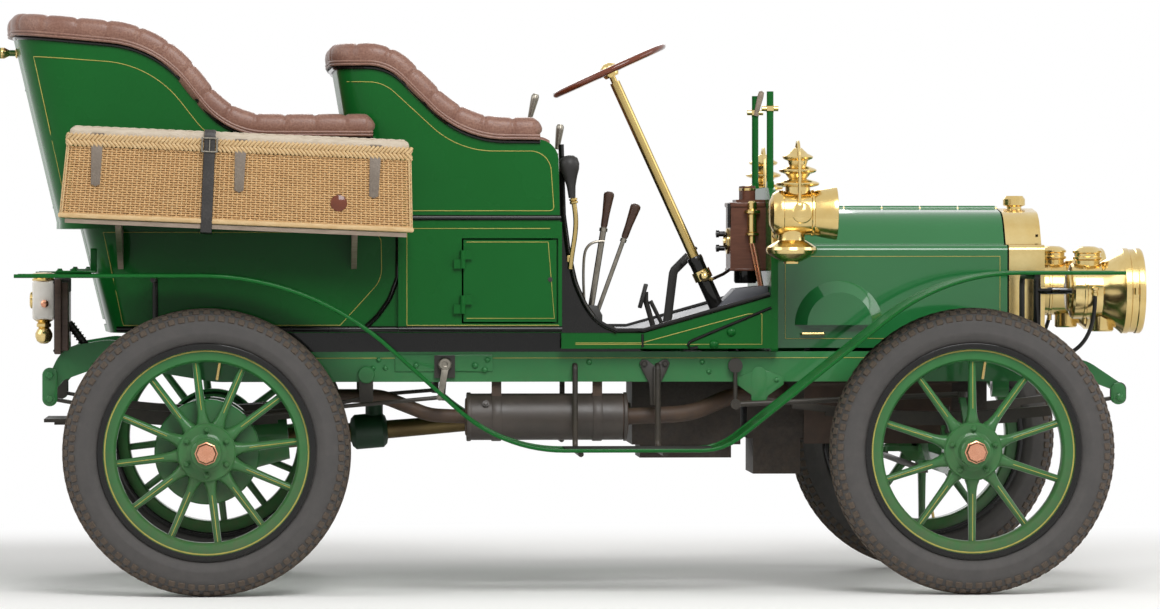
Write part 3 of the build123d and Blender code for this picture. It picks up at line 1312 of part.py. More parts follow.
# Lamps
def make_headlamp():
    """A right headlamp with its chimney, gas nipple and bracket, and the hose down to the rail."""
    post_y = -RAIL_Y + RAIL_W / 2
    rail_top = RAIL_BOTTOM + RAIL_H
    low_z, high_z = NIPPLE_Z
    nipple_z = high_z - NIPPLE_R
    lamp = fuse([
        turned(HEAD_BODY, (HEAD_BACK_X, HEAD_Y, HEAD_Z), (1, 0, 0)),
        turned(HEAD_CHIMNEY, (HEAD_CHIMNEY_X, HEAD_Y, HEAD_CHIMNEY_Z), (0, 0, 1)),
        bar((HEAD_POST_X, post_y, rail_top), (HEAD_POST_X, post_y, HEAD_POST_TOP), HEAD_POST_R),
        bar((HEAD_POST_X, post_y, HEAD_Z), (HEAD_BACK_X + LAP, HEAD_Y, HEAD_Z), HEAD_ARM_R),
        bar((NIPPLE_X, HEAD_Y, nipple_z), (NIPPLE_X, NIPPLE_Y, nipple_z), NIPPLE_R - LAP),
        bar((NIPPLE_X, NIPPLE_Y, low_z), (NIPPLE_X, NIPPLE_Y, high_z), NIPPLE_R),
    ])
    path = [(NIPPLE_X, NIPPLE_Y, low_z - SEAT_GAP)] + [(x, y, z) for x, y, z, r in HOSE_PATH]
    hose = tube(path, [r for x, y, z, r in HOSE_PATH[:-1]], HOSE_R)
    return lamp, hose


def make_side_lamp():
    """A right side lamp with its tiered chimney and font, and its bracket arm."""
    x0, x1 = SIDE_LAMP_X
    y, z = SIDE_LAMP_Y, SIDE_LAMP_Z
    middle = (x0 + x1) / 2
    font_x = middle - FONT_BACK
    arm_x, arm_z = DASH_X + DASH_T / 2, DASH_TOP - DASH_CORNER_R - SIDE_ARM_DROP
    return fuse([
        turned(SIDE_LAMP_BARREL, (x0, y, z), (1, 0, 0)),
        turned(SIDE_CHIMNEY, (middle - SIDE_CHIMNEY_BACK, y, SIDE_CHIMNEY_Z), (0, 0, 1)),
        turned(FONT, (font_x, y, FONT_Z), (0, 0, 1)),
        bar((font_x, y, FONT_NECK_LOW), (font_x, y, z), FONT_NECK_R),
        bar((arm_x, -DASH_HALF_W, arm_z), (arm_x, y, arm_z), SIDE_ARM_R),
    ])


def make_tail():
    """Tail lamp on the blank number plate's board, and the strut down to the right rail."""
    back_x = PLATE_X + PLATE_T
    y0, y1 = PLATE_Y[0] + PLATE_BACK_IN, PLATE_Y[1] - PLATE_BACK_IN
    z0, z1 = PLATE_Z[0] + PLATE_BACK_IN, PLATE_Z[1] - PLATE_BACK_IN
    arm = (TAIL_LAMP_X, TAIL_LAMP_Y, TAIL_ARM_Z), (PLATE_X + LAP, TAIL_LAMP_Y, TAIL_ARM_Z)
    tail = fuse([
        turned(TAIL_LAMP, (TAIL_LAMP_X, TAIL_LAMP_Y, TAIL_LAMP_Z), (0, 0, 1)),
        bar(*arm, TAIL_ARM_R),
        box(PLATE_X, back_x, *PLATE_Y, *PLATE_Z),
        box(back_x, back_x + PLATE_BACK_T, y0, y1, z0, z1),
        bar(*PLATE_STRUT, PLATE_STRUT_R),
    ])
    return tail - side_plate(rail_outline(), -RAIL_Y, -RAIL_Y + RAIL_W)


def make_rear_step():
    """The step plate below the rear door on two straps from the rear cross member."""
    low, high = STEP_TREAD_Z
    face = REAR_MEMBER_X - MEMBER_W / 2
    step = box(*STEP_TREAD_X, -STEP_TREAD_HALF_W, STEP_TREAD_HALF_W, low, high)
    for y in STEP_STRAP_Y:
        y0, y1 = y - STEP_STRAP_HALF_W, y + STEP_STRAP_HALF_W
        under = low - STEP_STRAP_T
        step = step + box(face - STEP_STRAP_T, face, y0, y1, under, STEP_STRAP_TOP)
        step = step + box(STEP_STRAP_X, face, y0, y1, under, low)
    return step


# Fittings
def hamper_block(grow, lift):
    """The hamper's tapered block, grown on every side but the bottom."""
    x0, x1 = HAMPER_X[0] - grow, HAMPER_X[1] + grow
    y0, y1 = HAMPER_Y[0] - grow, HAMPER_Y[1] + grow
    in_x, in_y = HAMPER_TAPER
    z = HAMPER_H + lift
    low = Polyline((x0, y0, 0), (x1, y0, 0), (x1, y1, 0), (x0, y1, 0), close=True)
    high = Polyline(
        (x0 + in_x, y0 + in_y, z), (x1 - in_x, y0 + in_y, z), (x1 - in_x, y1, z), (x0 + in_x, y1, z),
        close=True)
    return loft([make_face(low), make_face(high)], ruled=True)


def make_hamper():
    """The closed wicker hamper, its strap, and its shelf with two irons."""
    place = Pos(0, 0, HAMPER_Z) * Rot(0, HAMPER_PITCH, 0)
    out_y, in_y = HAMPER_Y
    strap = hamper_block(STRAP_T, STRAP_T) - hamper_block(SEAT_GAP, SEAT_GAP)
    strap = strap & box(-STRAP_HALF_W, STRAP_HALF_W, -FAR, 0, 0, UNDER)
    shelf_x = (HAMPER_X[0] + HAMPER_TAPER[0], HAMPER_X[1] - HAMPER_TAPER[0])
    shelf = place * box(*shelf_x, out_y + SHELF_IN, in_y, -SHELF_T - SEAT_GAP, -SEAT_GAP)
    low, high = SHELF_IRON_Z
    for x in SHELF_IRON_X:
        under = HAMPER_Z - x * math.sin(math.radians(HAMPER_PITCH)) - SHELF_T - SEAT_GAP
        iron = make_face(Polyline(
            (-BASE_HALF_W, high), (-TUB_HALF_W - 2, high), (-TUB_HALF_W - SHELF_IN, under),
            (-SHELF_IRON_REACH, under), (-SHELF_IRON_REACH, under - SHELF_IRON_TIP),
            (-BASE_HALF_W, low), close=True))
        shelf = shelf + front_plate(iron, x - SHELF_IRON_HALF_T, x + SHELF_IRON_HALF_T)
    return place * hamper_block(0, 0), place * strap, shelf


def make_levers():
    """The two hand levers on their bracket on the floor."""
    levers = box(*LEVER_BRACKET_X, LEVERS[0][0], LEVERS[-1][0], SILL_TOP, LEVER_BRACKET_Z)
    for y, foot_x, top_x, top_z in LEVERS:
        foot, top = Vector(foot_x, y, LEVER_FOOT_Z), Vector(top_x, y, top_z)
        grip = foot + (top - foot) * LEVER_GRIP_FROM
        levers = levers + bar(tuple(foot), tuple(top), LEVER_R)
        levers = levers + bar(tuple(grip), tuple(top), LEVER_GRIP_R)
    return levers


def make_pedals():
    """A pedal with a pad, and one bent up and forward, on stems through the toe board."""
    toe_back = TOE_X - TOE_BREAK
    floor = side_plate(make_face(Polyline(
        (BOX_FRONT_X, UNDER), (DASH_X, UNDER), (DASH_X, TOE_TOP), (toe_back, SILL_TOP),
        (BOX_FRONT_X, SILL_TOP), close=True)), -FAR, FAR)
    pedals = []
    for y, foot_x, bend_x, bend_z, tip_x, tip_z in PEDALS:
        stem = bar((foot_x, y, SILL_TOP), (bend_x, y, bend_z), PEDAL_R)
        stem = stem + bar((bend_x, y, bend_z), (tip_x, y, tip_z), PEDAL_R)
        pedals.append(stem - floor)
    y, foot_x, bend_x, bend_z, tip_x, tip_z = PEDALS[0]
    pad = Pos(tip_x - PEDAL_R, y, (bend_z + tip_z) / 2) * Rot(0, PEDAL_PAD_TILT, 0) * Box(*PEDAL_PAD)
    pedals[0] = pedals[0] + pad
    return pedals


def make_horn():
    """The bulb horn clipped to the front of the seat box."""
    bulb = turned(HORN_BULB, (HORN_X, HORN_Y, HORN_BULB_Z), (0, 0, 1))
    pipe = bar((HORN_X, HORN_Y, HORN_LOW), (HORN_X, HORN_Y, HORN_BULB_Z + HORN_PIPE_R), HORN_PIPE_R)
    clip = box(BOX_FRONT_X, HORN_X, HORN_Y - HORN_PIPE_R, HORN_Y + HORN_PIPE_R, *HORN_CLIP_Z)
    return fuse([bulb, pipe, clip])


def make_coil_box():
    """The coil box on the dash with the oiler's cups on top."""
    top = COIL_Z[1]
    coil = box(DASH_X - COIL_DEPTH, DASH_X, *COIL_Y, *COIL_Z)
    coil = coil + box(DASH_X - OILER_DEPTH, DASH_X, *OILER_Y, top, top + OILER_T)
    x = DASH_X - CUP_SET_BACK
    for y in CUP_Y:
        coil = coil + bar((x, y, top), (x, y, top + OILER_T + CUP_H), CUP_R)
    return coil


def main():
    """Build every piece and write it."""
    os.makedirs("parts", exist_ok=True)
    rail = make_rail()
    shaft_ends = (DROP_ARM_X, -RAIL_Y, DROP_ARM_Z), (DROP_ARM_X, -RAIL_Y + RAIL_W, DROP_ARM_Z)
    save("frame_rails", rail - bar(*shaft_ends, DROP_SHAFT_R + LAP), left_of(rail))
    save("cross_members", *make_cross_members())
    front_spring = make_spring(FRONT_EYES, (SHACKLE_RISE, FRONT_EYE_RISE))
    rear_spring = make_spring(REAR_EYES, (SHACKLE_RISE, SHACKLE_RISE))
    save("springs", *pair(front_spring), *pair(rear_spring))
    save("front_axle", make_front_axle())
    save("rear_axle", make_rear_axle())
    save("shaft_cover", make_shaft_cover())
    save("engine_and_gearbox", make_engine(), make_gearbox())
    save("undertray", *pair(make_undertray()))
    save("exhaust", make_exhaust())
    save("brake_gear", *pair(make_brake_gear()))
    save("knuckle_right", make_knuckle(True))
    save("knuckle_left", left_of(make_knuckle(False)))
    save("track_rod", make_track_rod())

    tyre = make_tyre()
    axles = (
        # name, x, spokes, first turn, drum
        ("front", WHEELBASE, FRONT_SPOKES, FRONT_SPOKE_TURN, False),
        ("rear", 0.0, REAR_SPOKES, REAR_SPOKE_TURN, True),
    )
    for name, x, spokes, turn, drum in axles:
        place = Pos(x, -TRACK / 2, TYRE_R)
        wheel = place * make_wheel(spokes, turn, drum)
        save(f"wheel_{name}_right", wheel)
        save(f"wheel_{name}_left", left_of(wheel))
        save(f"tyre_{name}_right", place * tyre)
        save(f"tyre_{name}_left", left_of(place * tyre))

    tub_shell, base, door = make_tonneau()
    save("tonneau_body", tub_shell)
    save("tonneau_base", base)
    save("rear_door", door)
    seat, squab, roll, door_pad, door_roll = make_tonneau_soft()
    save("rear_upholstery", *pair(seat), *squab.solids(), *roll.solids())
    save("rear_door_pad", door_pad, door_roll)
    seat_body, cushion, squab, roll = make_front_seat()
    save("front_seat_body", seat_body)
    save("front_upholstery", *pair(cushion), squab, roll)
    seat_box, locker_door = make_seat_box()
    save("seat_box", seat_box)
    save("locker_door", locker_door)
    boards, side, sill, heel = make_floor()
    save("floor", fuse([boards] + pair(side)))
    save("body_sills", *pair(sill))
    save("heel_board", heel)
    save("steering_column", make_column())
    save("steering_wheel", make_steering_wheel())
    arm, link = make_drop_arm()
    save("drop_arm", arm)
    save("drag_link", link)
    right, left, rod = make_bonnet()
    save("bonnet_right", right)
    save("bonnet_left", left)
    save("bonnet_hinge", rod)
    shell, core = make_radiator()
    save("radiator", shell)
    save("radiator_core", core)
    save("wings", *pair(make_wing()))
    stays = make_stays()
    save("wing_irons", *stays, *[left_of(stay) for stay in stays])
    lamp, hose = make_headlamp()
    save("headlamps", *pair(lamp))
    save("gas_hose_right", hose)
    save("gas_hose_left", left_of(hose))
    save("side_lamps", *pair(make_side_lamp()))
    save("tail_lamp", make_tail())
    save("rear_step", make_rear_step())
    hamper, strap, shelf = make_hamper()
    save("hamper", hamper)
    save("hamper_strap", strap)
    save("hamper_shelf", shelf)
    save("driver_controls", make_levers(), *make_pedals())
    save("bulb_horn", make_horn())
    save("coil_box", make_coil_box())
    save("dash", make_dash())


main()
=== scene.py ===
"""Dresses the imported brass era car: paint, brass, leather, wicker, wood and rubber.

Sizes are in millimetres, measured from the rear axle: X forward, Y to the left, Z up from the ground.
"""

from __future__ import annotations

import json
import logging
import math
from dataclasses import dataclass
from enum import Enum

import bmesh
import bpy
from mathutils import Matrix, Vector

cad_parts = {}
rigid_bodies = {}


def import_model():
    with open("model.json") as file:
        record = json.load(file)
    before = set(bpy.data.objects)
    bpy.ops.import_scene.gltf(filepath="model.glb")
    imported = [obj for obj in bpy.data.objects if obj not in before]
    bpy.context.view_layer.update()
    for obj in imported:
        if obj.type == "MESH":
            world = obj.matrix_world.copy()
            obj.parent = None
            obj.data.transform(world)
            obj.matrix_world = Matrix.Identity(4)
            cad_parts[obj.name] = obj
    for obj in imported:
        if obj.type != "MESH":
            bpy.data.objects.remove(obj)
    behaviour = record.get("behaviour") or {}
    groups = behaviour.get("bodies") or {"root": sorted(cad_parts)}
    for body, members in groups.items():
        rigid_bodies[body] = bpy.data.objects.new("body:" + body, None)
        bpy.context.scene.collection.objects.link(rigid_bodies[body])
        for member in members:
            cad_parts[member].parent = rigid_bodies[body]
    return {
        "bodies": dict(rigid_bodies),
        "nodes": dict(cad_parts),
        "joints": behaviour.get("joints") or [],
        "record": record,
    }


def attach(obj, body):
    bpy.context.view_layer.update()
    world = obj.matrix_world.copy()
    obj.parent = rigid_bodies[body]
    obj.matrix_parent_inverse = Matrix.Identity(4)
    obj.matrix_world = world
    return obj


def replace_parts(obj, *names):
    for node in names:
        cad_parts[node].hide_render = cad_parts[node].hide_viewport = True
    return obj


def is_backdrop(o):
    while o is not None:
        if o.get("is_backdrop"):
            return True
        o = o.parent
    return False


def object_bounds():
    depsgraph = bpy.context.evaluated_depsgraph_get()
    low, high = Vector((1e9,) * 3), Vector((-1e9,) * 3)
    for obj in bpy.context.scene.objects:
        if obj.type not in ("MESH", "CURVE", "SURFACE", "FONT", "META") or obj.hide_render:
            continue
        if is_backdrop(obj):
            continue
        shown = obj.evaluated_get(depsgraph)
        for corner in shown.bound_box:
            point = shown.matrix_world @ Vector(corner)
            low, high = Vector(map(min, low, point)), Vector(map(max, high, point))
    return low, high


LOG = logging.getLogger("brass_era_car")
MM = 0.001
REAR_AXLE_X = -1049.0
RIGHT, LEFT = -1, 1
GOLD_R = 1.3  # half the width of a gold line
PHOTO_W, PHOTO_H = 1160, 609
Point = tuple[float, float, float]
ORIGIN: Point = (0, 0, 0)
AHEAD: Point = (1, 0, 0)
BACK: Point = (-1, 0, 0)
UP: Point = (0, 0, 1)
OUT: Point = (0, -1, 0)  # out of the car's right side, which the photograph shows

COAT_ROUGHNESS = 0.06
SPECULAR_COATED, SPECULAR_BARE = 0.07, 0.4
BUMP_STRENGTH = 0.8
DUST_HEIGHTS_M = (0.75, 0.15)  # clean above the first, dustiest below the second
DUST_MOST = 0.75
DUST_PER_METRE = 45.0  # patches about 22 mm wide


def to_row(x: float, y: float, z: float) -> Vector:
    """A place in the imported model's frame, in metres."""
    return Vector(((x + REAR_AXLE_X) * MM, y * MM, z * MM))


def linear(hex_colour: str) -> tuple[float, float, float, float]:
    """Turns an sRGB hex value to linear light.

    Args:
        hex_colour: six digits after a hash sign.

    Returns:
        Red, green, blue and an alpha of 1.
    """
    parts = [int(hex_colour[i:i + 2], 16) / 255 for i in (1, 3, 5)]
    return (*[p / 12.92 if p <= 0.04045 else ((p + 0.055) / 1.055) ** 2.4 for p in parts], 1.0)


def add_node(tree: bpy.types.NodeTree, kind: str, inputs: dict | None = None, **settings) -> bpy.types.Node:
    """Adds one shader node, sets it and links it.

    Args:
        tree: the material's node tree.
        kind: the node's type name.
        inputs: socket name or number to a constant, or to the output socket that feeds it.
        settings: properties of the node itself.

    Returns:
        The new node.
    """
    node = tree.nodes.new(kind)
    for key, value in settings.items():
        setattr(node, key, value)
    for key, value in (inputs or {}).items():
        if isinstance(value, bpy.types.NodeSocket):
            tree.links.new(value, node.inputs[key])
        else:
            node.inputs[key].default_value = value
    return node


class Pattern(Enum):
    """What breaks up a finish's colour."""

    CLOUDS = "soft patches, as in brushed paint or tarnish"
    GRAIN = "long streaks along X, as in planed timber"
    HIDE = "small cells with creases, as in leather"
    STRANDS = "fine streaks on split cane"
    SPECKLE = "grit and dust, as on rubber and castings"


@dataclass(frozen=True)
class Finish:
    """One finish: a real material and how its surface was made."""

    name: str
    slot: str
    colour: str
    second: str
    roughness: float
    metallic: float = 0.0
    coat: float = 0.0
    pattern: Pattern = Pattern.CLOUDS
    size_mm: float = 120.0
    bump_mm: float = 0.0
    sheen: float = 0.0
    rough_spread: float = 0.08
    dust: str = ""

    def material(self) -> bpy.types.Material:
        """The finish as a Blender material, made once."""
        found = bpy.data.materials.get(self.name)
        if found:
            return found
        mat = bpy.data.materials.new(self.name)
        mat.use_nodes = True
        tree = mat.node_tree
        shader = tree.nodes["Principled BSDF"]
        shader.inputs["Metallic"].default_value = self.metallic
        shader.inputs["Coat Weight"].default_value = self.coat
        shine = SPECULAR_COATED if self.coat else SPECULAR_BARE
        shader.inputs["Specular IOR Level"].default_value = shine
        shader.inputs["Coat Roughness"].default_value = COAT_ROUGHNESS
        shader.inputs["Sheen Weight"].default_value = self.sheen
        place = add_node(tree, "ShaderNodeTexCoord").outputs["Object"]
        height = self._height(tree, place)
        ramp = add_node(tree, "ShaderNodeMix", {"Factor": height, "A": linear(self.colour),
                                                "B": linear(self.second)}, data_type="RGBA")
        tint = ramp.outputs["Result"]
        if self.dust:
            tint = self._dusted(tree, place, tint)
        tree.links.new(tint, shader.inputs["Base Color"])
        rough = add_node(tree, "ShaderNodeMapRange", {
            "Value": height, "To Min": max(0.03, self.roughness - self.rough_spread),
            "To Max": min(1.0, self.roughness + self.rough_spread)})
        tree.links.new(rough.outputs["Result"], shader.inputs["Roughness"])
        if self.bump_mm:
            bump = add_node(tree, "ShaderNodeBump", {
                "Height": height, "Distance": self.bump_mm * MM, "Strength": BUMP_STRENGTH})
            tree.links.new(bump.outputs["Normal"], shader.inputs["Normal"])
        return mat

    def _height(self, tree: bpy.types.NodeTree, place: bpy.types.NodeSocket) -> bpy.types.NodeSocket:
        """The pattern, from 0 to 1.

        Args:
            tree: the node tree to add to.
            place: Object coordinates.

        Returns:
            The socket that carries the pattern.
        """
        per_metre = 1.0 / (self.size_mm * MM)
        if self.pattern in (Pattern.GRAIN, Pattern.STRANDS):
            stretch = (0.12, 1.0, 1.0) if self.pattern is Pattern.GRAIN else (0.3, 1.0, 1.0)
            place = add_node(tree, "ShaderNodeMapping", {"Vector": place, "Scale": stretch}).outputs["Vector"]
        if self.pattern is Pattern.HIDE:
            cells = add_node(tree, "ShaderNodeTexVoronoi", {"Vector": place, "Scale": per_metre},
                             feature="SMOOTH_F1")
            folds = add_node(tree, "ShaderNodeTexNoise", {"Vector": place, "Scale": per_metre / 14,
                                                          "Detail": 6.0})
            both = add_node(tree, "ShaderNodeMath", {0: cells.outputs["Distance"], 1: folds.outputs["Fac"]},
                            operation="MULTIPLY")
            return add_node(tree, "ShaderNodeMapRange", {
                "Value": both.outputs[0], "From Min": 0.05, "From Max": 0.5}).outputs["Result"]
        detail = {Pattern.CLOUDS: 4.0, Pattern.GRAIN: 8.0, Pattern.STRANDS: 5.0,
                  Pattern.SPECKLE: 10.0}[self.pattern]
        noise = add_node(tree, "ShaderNodeTexNoise", {
            "Vector": place, "Scale": per_metre, "Detail": detail, "Roughness": 0.6})
        return add_node(tree, "ShaderNodeMapRange", {
            "Value": noise.outputs["Fac"], "From Min": 0.2, "From Max": 0.8}).outputs["Result"]

    def _dusted(self, tree: bpy.types.NodeTree, place: bpy.types.NodeSocket,
                tint: bpy.types.NodeSocket) -> bpy.types.NodeSocket:
        """Road dust that thins out with height above the ground.

        Args:
            tree: the node tree to add to.
            place: Object coordinates.
            tint: the clean colour.

        Returns:
            The dusty colour.
        """
        split = add_node(tree, "ShaderNodeSeparateXYZ", {"Vector": place})
        clean_from, full_below = DUST_HEIGHTS_M
        low = add_node(tree, "ShaderNodeMapRange", {
            "Value": split.outputs["Z"], "From Min": clean_from, "From Max": full_below,
            "To Min": 0.0, "To Max": DUST_MOST})
        grit = add_node(tree, "ShaderNodeTexNoise", {
            "Vector": place, "Scale": DUST_PER_METRE, "Detail": 8.0})
        amount = add_node(tree, "ShaderNodeMath", {0: low.outputs["Result"], 1: grit.outputs["Fac"]},
                          operation="MULTIPLY")
        mix = add_node(tree, "ShaderNodeMix", {"Factor": amount.outputs[0],
                                               "A": tint, "B": linear(self.dust)}, data_type="RGBA")
        return mix.outputs["Result"]


@dataclass(frozen=True)
class Glass(Finish):
    """Blown lamp glass, clear or ruby."""

    def material(self) -> bpy.types.Material:
        """The tinted glass as a Blender material, made once."""
        found = bpy.data.materials.get(self.name)
        if found:
            return found
        mat = bpy.data.materials.new(self.name)
        mat.use_nodes = True
        shader = mat.node_tree.nodes["Principled BSDF"]
        shader.inputs["Base Color"].default_value = linear(self.colour)
        shader.inputs["Roughness"].default_value = self.roughness
        shader.inputs["Transmission Weight"].default_value = 1.0
        shader.inputs["IOR"].default_value = 1.5
        return mat


# Brushed and varnished coach enamel: deep colour under a clear glossy coat, slightly patchy.
GREEN = Finish("coach_enamel_green", "body_green", "#10581f", "#145e26", 0.28, coat=0.14, size_mm=420.0,
               rough_spread=0.04)
# The same enamel on the frame, dulled by road dust.
FRAME_GREEN = Finish("coach_enamel_frame", "chassis_green", "#2a723e", "#337b47", 0.36, coat=0.4,
                     size_mm=220.0, dust="#6d604c")
# Enamel on the castings below the floor, darkened well below the frame's green: painted shade.
SHADED_CASTING_GREEN = Finish("casting_enamel_painted_shade", "chassis_green", "#14321d", "#1c3d25", 0.45, size_mm=60.0)
# Enamel on the bonnet, with more coats of varnish than the rest; its paler green than the body's is a painted
# sky reflection.
BONNET_GREEN = Finish("coach_enamel_bonnet_painted_sheen", "body_green", "#1f6734", "#266e3b", 0.22, coat=1.0,
                      size_mm=420.0, rough_spread=0.04)
# Enamel on timber wheels, flatter and paler where hands and cloths have rubbed it.
WHEEL_GREEN = Finish("coach_enamel_wheel", "wheel_green", "#2b6836", "#35743f", 0.34, coat=0.4, size_mm=90.0,
                     dust="#5f5a48")
# Stoved black enamel on edges and mouldings.
BLACK = Finish("stoved_enamel_black", "iron_black", "#0d0d0c", "#161513", 0.26, coat=0.5, size_mm=90.0)
# Forged iron under thin black paint, dusty.
IRON = Finish("painted_forged_iron", "iron_black", "#1b1b1a", "#2b2925", 0.5, size_mm=40.0, bump_mm=0.3,
              pattern=Pattern.SPECKLE, dust="#6a5b49")
# Rolled spring steel, black with brown grease.
SPRING = Finish("spring_steel", "spring_black", "#1a1a19", "#33302b", 0.48, size_mm=50.0, bump_mm=0.2,
                pattern=Pattern.SPECKLE, dust="#5e5243")
# Spun and polished brass with faint tarnish.
BRASS = Finish("polished_brass", "brass", "#dfca92", "#c9ab69", 0.2, metallic=1.0, size_mm=90.0,
               rough_spread=0.05)
# Brass that has gone dull on the column and pipes.
DULL_BRASS = Finish("handled_brass", "brass", "#bba56d", "#a38c55", 0.27, metallic=1.0, size_mm=140.0,
                    rough_spread=0.04)
# Turned copper of hub caps and pipes, pink with a soft shine.
COPPER = Finish("turned_copper", "brass", "#d9a184", "#c28468", 0.28, metallic=1.0, size_mm=18.0)
# Tarnished bright steel of levers and buckles.
STEEL = Finish("bright_steel", "iron_black", "#948e83", "#6f6a61", 0.34, metallic=1.0, size_mm=22.0)
# Sand-cast iron of engine and gearbox, oily.
CAST = Finish("sand_cast_iron", "cast_iron", "#2e2b28", "#1d1b18", 0.62, size_mm=8.0, bump_mm=0.5,
              pattern=Pattern.SPECKLE, dust="#5d4a3a")
# Scorched iron of the exhaust, brown and matt.
EXHAUST = Finish("scorched_iron", "exhaust_iron", "#3b302c", "#54402f", 0.6, size_mm=45.0, bump_mm=0.3,
                 pattern=Pattern.SPECKLE)
# Sheet jacket of the silencer, black with a dull shine.
JACKET = Finish("blued_sheet_iron", "exhaust_iron", "#38332f", "#4a423c", 0.42, size_mm=60.0,
                rough_spread=0.1)
# Painted sheet, brown with oil.
TRAY = Finish("oiled_sheet_iron", "tray_brown", "#4a372b", "#33271f", 0.55, size_mm=70.0)
# Vulcanised rubber sidewall, greyed by age.
RUBBER = Finish("vulcanised_rubber", "tyre", "#3f3d3c", "#4e4b49", 0.72, size_mm=30.0, bump_mm=0.25,
                pattern=Pattern.SPECKLE, rough_spread=0.06)
# Tread of the same rubber, brown and dull with road dust.
TREAD = Finish("dusty_tread_rubber", "tyre", "#5c5045", "#463e37", 0.88, size_mm=7.0, bump_mm=0.5,
               pattern=Pattern.SPECKLE, rough_spread=0.05)
# Soft black rubber of bulb, hoses and step, with a faint bloom.
HORN_RUBBER = Finish("soft_black_rubber", "horn_rubber", "#181716", "#252321", 0.5, size_mm=12.0,
                     pattern=Pattern.SPECKLE)
# Vegetable-tanned hide with a pebbled grain. 5 mm cells are drawn coarser than real so that they show.
HIDE = Finish("tanned_hide_brown", "leather", "#744f42", "#94705f", 0.42, size_mm=5.0, bump_mm=0.5,
              pattern=Pattern.HIDE, sheen=0.1)
# Black harness leather, waxed, with fine creases.
STRAP = Finish("harness_leather_black", "strap_leather", "#22201f", "#3a3735", 0.48, size_mm=4.0, bump_mm=0.3,
               pattern=Pattern.HIDE)
# Old strap leather that the weather has turned grey.
TAB_LEATHER = Finish("grey_strap_leather", "strap_leather", "#6d6257", "#857a6e", 0.6, size_mm=4.0,
                     bump_mm=0.3, pattern=Pattern.HIDE)
# Buff willow, split and woven: pale with brown ends.
WILLOW = Finish("buff_willow", "wicker", "#d2aa76", "#b58b5a", 0.58, size_mm=14.0, bump_mm=0.2,
                pattern=Pattern.STRANDS)
# The lid's willow, bleached by the sun.
PALE_WILLOW = Finish("bleached_willow", "wicker", "#cbbfae", "#ad9e88", 0.65, size_mm=9.0, bump_mm=0.4,
                     pattern=Pattern.STRANDS)
# Peeled willow of stakes and borders, paler than the weavers.
STAKE_WILLOW = Finish("white_willow", "wicker", "#d3b88c", "#bd9a68", 0.6, size_mm=10.0,
                      pattern=Pattern.STRANDS)
# A dark brown block inside the walls: painted shade that shows between the weavers.
SHADED_WILLOW = Finish("willow_painted_shade", "wicker", "#6f5233", "#584127", 0.7, size_mm=10.0,
                       pattern=Pattern.STRANDS)
# Mahogany, planed and french polished: red brown with a deep shine.
MAHOGANY = Finish("polished_mahogany", "mahogany", "#743a22", "#5a2917", 0.24, coat=0.7, size_mm=9.0,
                  pattern=Pattern.GRAIN)
# Oiled walnut of the coil box: brown with a low shine.
COIL_WOOD = Finish("oiled_walnut", "coil_wood", "#6b4638", "#57372b", 0.42, coat=0.2, size_mm=7.0,
                   pattern=Pattern.GRAIN)
# Turned rosewood, nearly black and worn smooth by hands.
GRIP_WOOD = Finish("turned_rosewood", "mahogany", "#4d372d", "#38281f", 0.34, coat=0.4, size_mm=8.0,
                   pattern=Pattern.GRAIN)
# The plate's board under old brown varnish.
BOARD_WOOD = Finish("varnished_board", "coil_wood", "#5f4e46", "#4d3f39", 0.5, coat=0.2, size_mm=9.0,
                    pattern=Pattern.GRAIN)
# Bare ash, grey from the weather.
SHELF_WOOD = Finish("weathered_ash", "shelf_wood", "#a39383", "#7d6e60", 0.75, size_mm=8.0, bump_mm=0.3,
                    pattern=Pattern.GRAIN)
# Gold size lining, hand drawn: a flat yellow.
GOLD_LINE = Finish("gold_lining", "body_green", "#bdb25a", "#a59a48", 0.42, size_mm=30.0)
# Silvered reflector, a bright mirror.
SILVER = Finish("silvered_copper", "brass", "#e6e2d6", "#cfc9b8", 0.12, metallic=1.0, size_mm=40.0)
# Blown clear glass.
CLEAR_GLASS = Glass("lamp_glass_clear", "brass", "#f6f8f4", "#f6f8f4", 0.02)
# Moulded ruby glass of the tail lamp.
RUBY_GLASS = Glass("lamp_glass_ruby", "brass", "#c21a16", "#c21a16", 0.04)
# Vitreous enamel on the tail lamp: white and smooth.
WHITE_ENAMEL = Finish("vitreous_enamel_white", "brass", "#f4f0e9", "#e8e2d7", 0.3, coat=0.4, size_mm=30.0)
# Black paint on the blank plate, slightly glossy.
BLANK_PLATE = Finish("painted_plate_black", "iron_black", "#121212", "#1c1b1a", 0.35, coat=0.3, size_mm=60.0)
# Linoleum on the toe board, worn grey.
FLOOR_MAT = Finish("worn_grey_linoleum", "heel_black", "#4e4f55", "#5d5e63", 0.5, size_mm=60.0)
# Black linoleum on the heel board, dull.
HEEL_MAT = Finish("ribbed_black_linoleum", "heel_black", "#232423", "#2e2f2e", 0.55, size_mm=60.0)
# Brass tube over the propeller shaft under a brown film of oil.
OILY_TUBE = Finish("oily_brass_tube", "brass", "#6e5d38", "#54452a", 0.4, metallic=0.6, size_mm=80.0)
# Copper gills blackened to lose their heat.
CORE = Finish("blackened_copper_gills", "core_black", "#1d1b19", "#322c26", 0.5, metallic=0.4, size_mm=12.0)

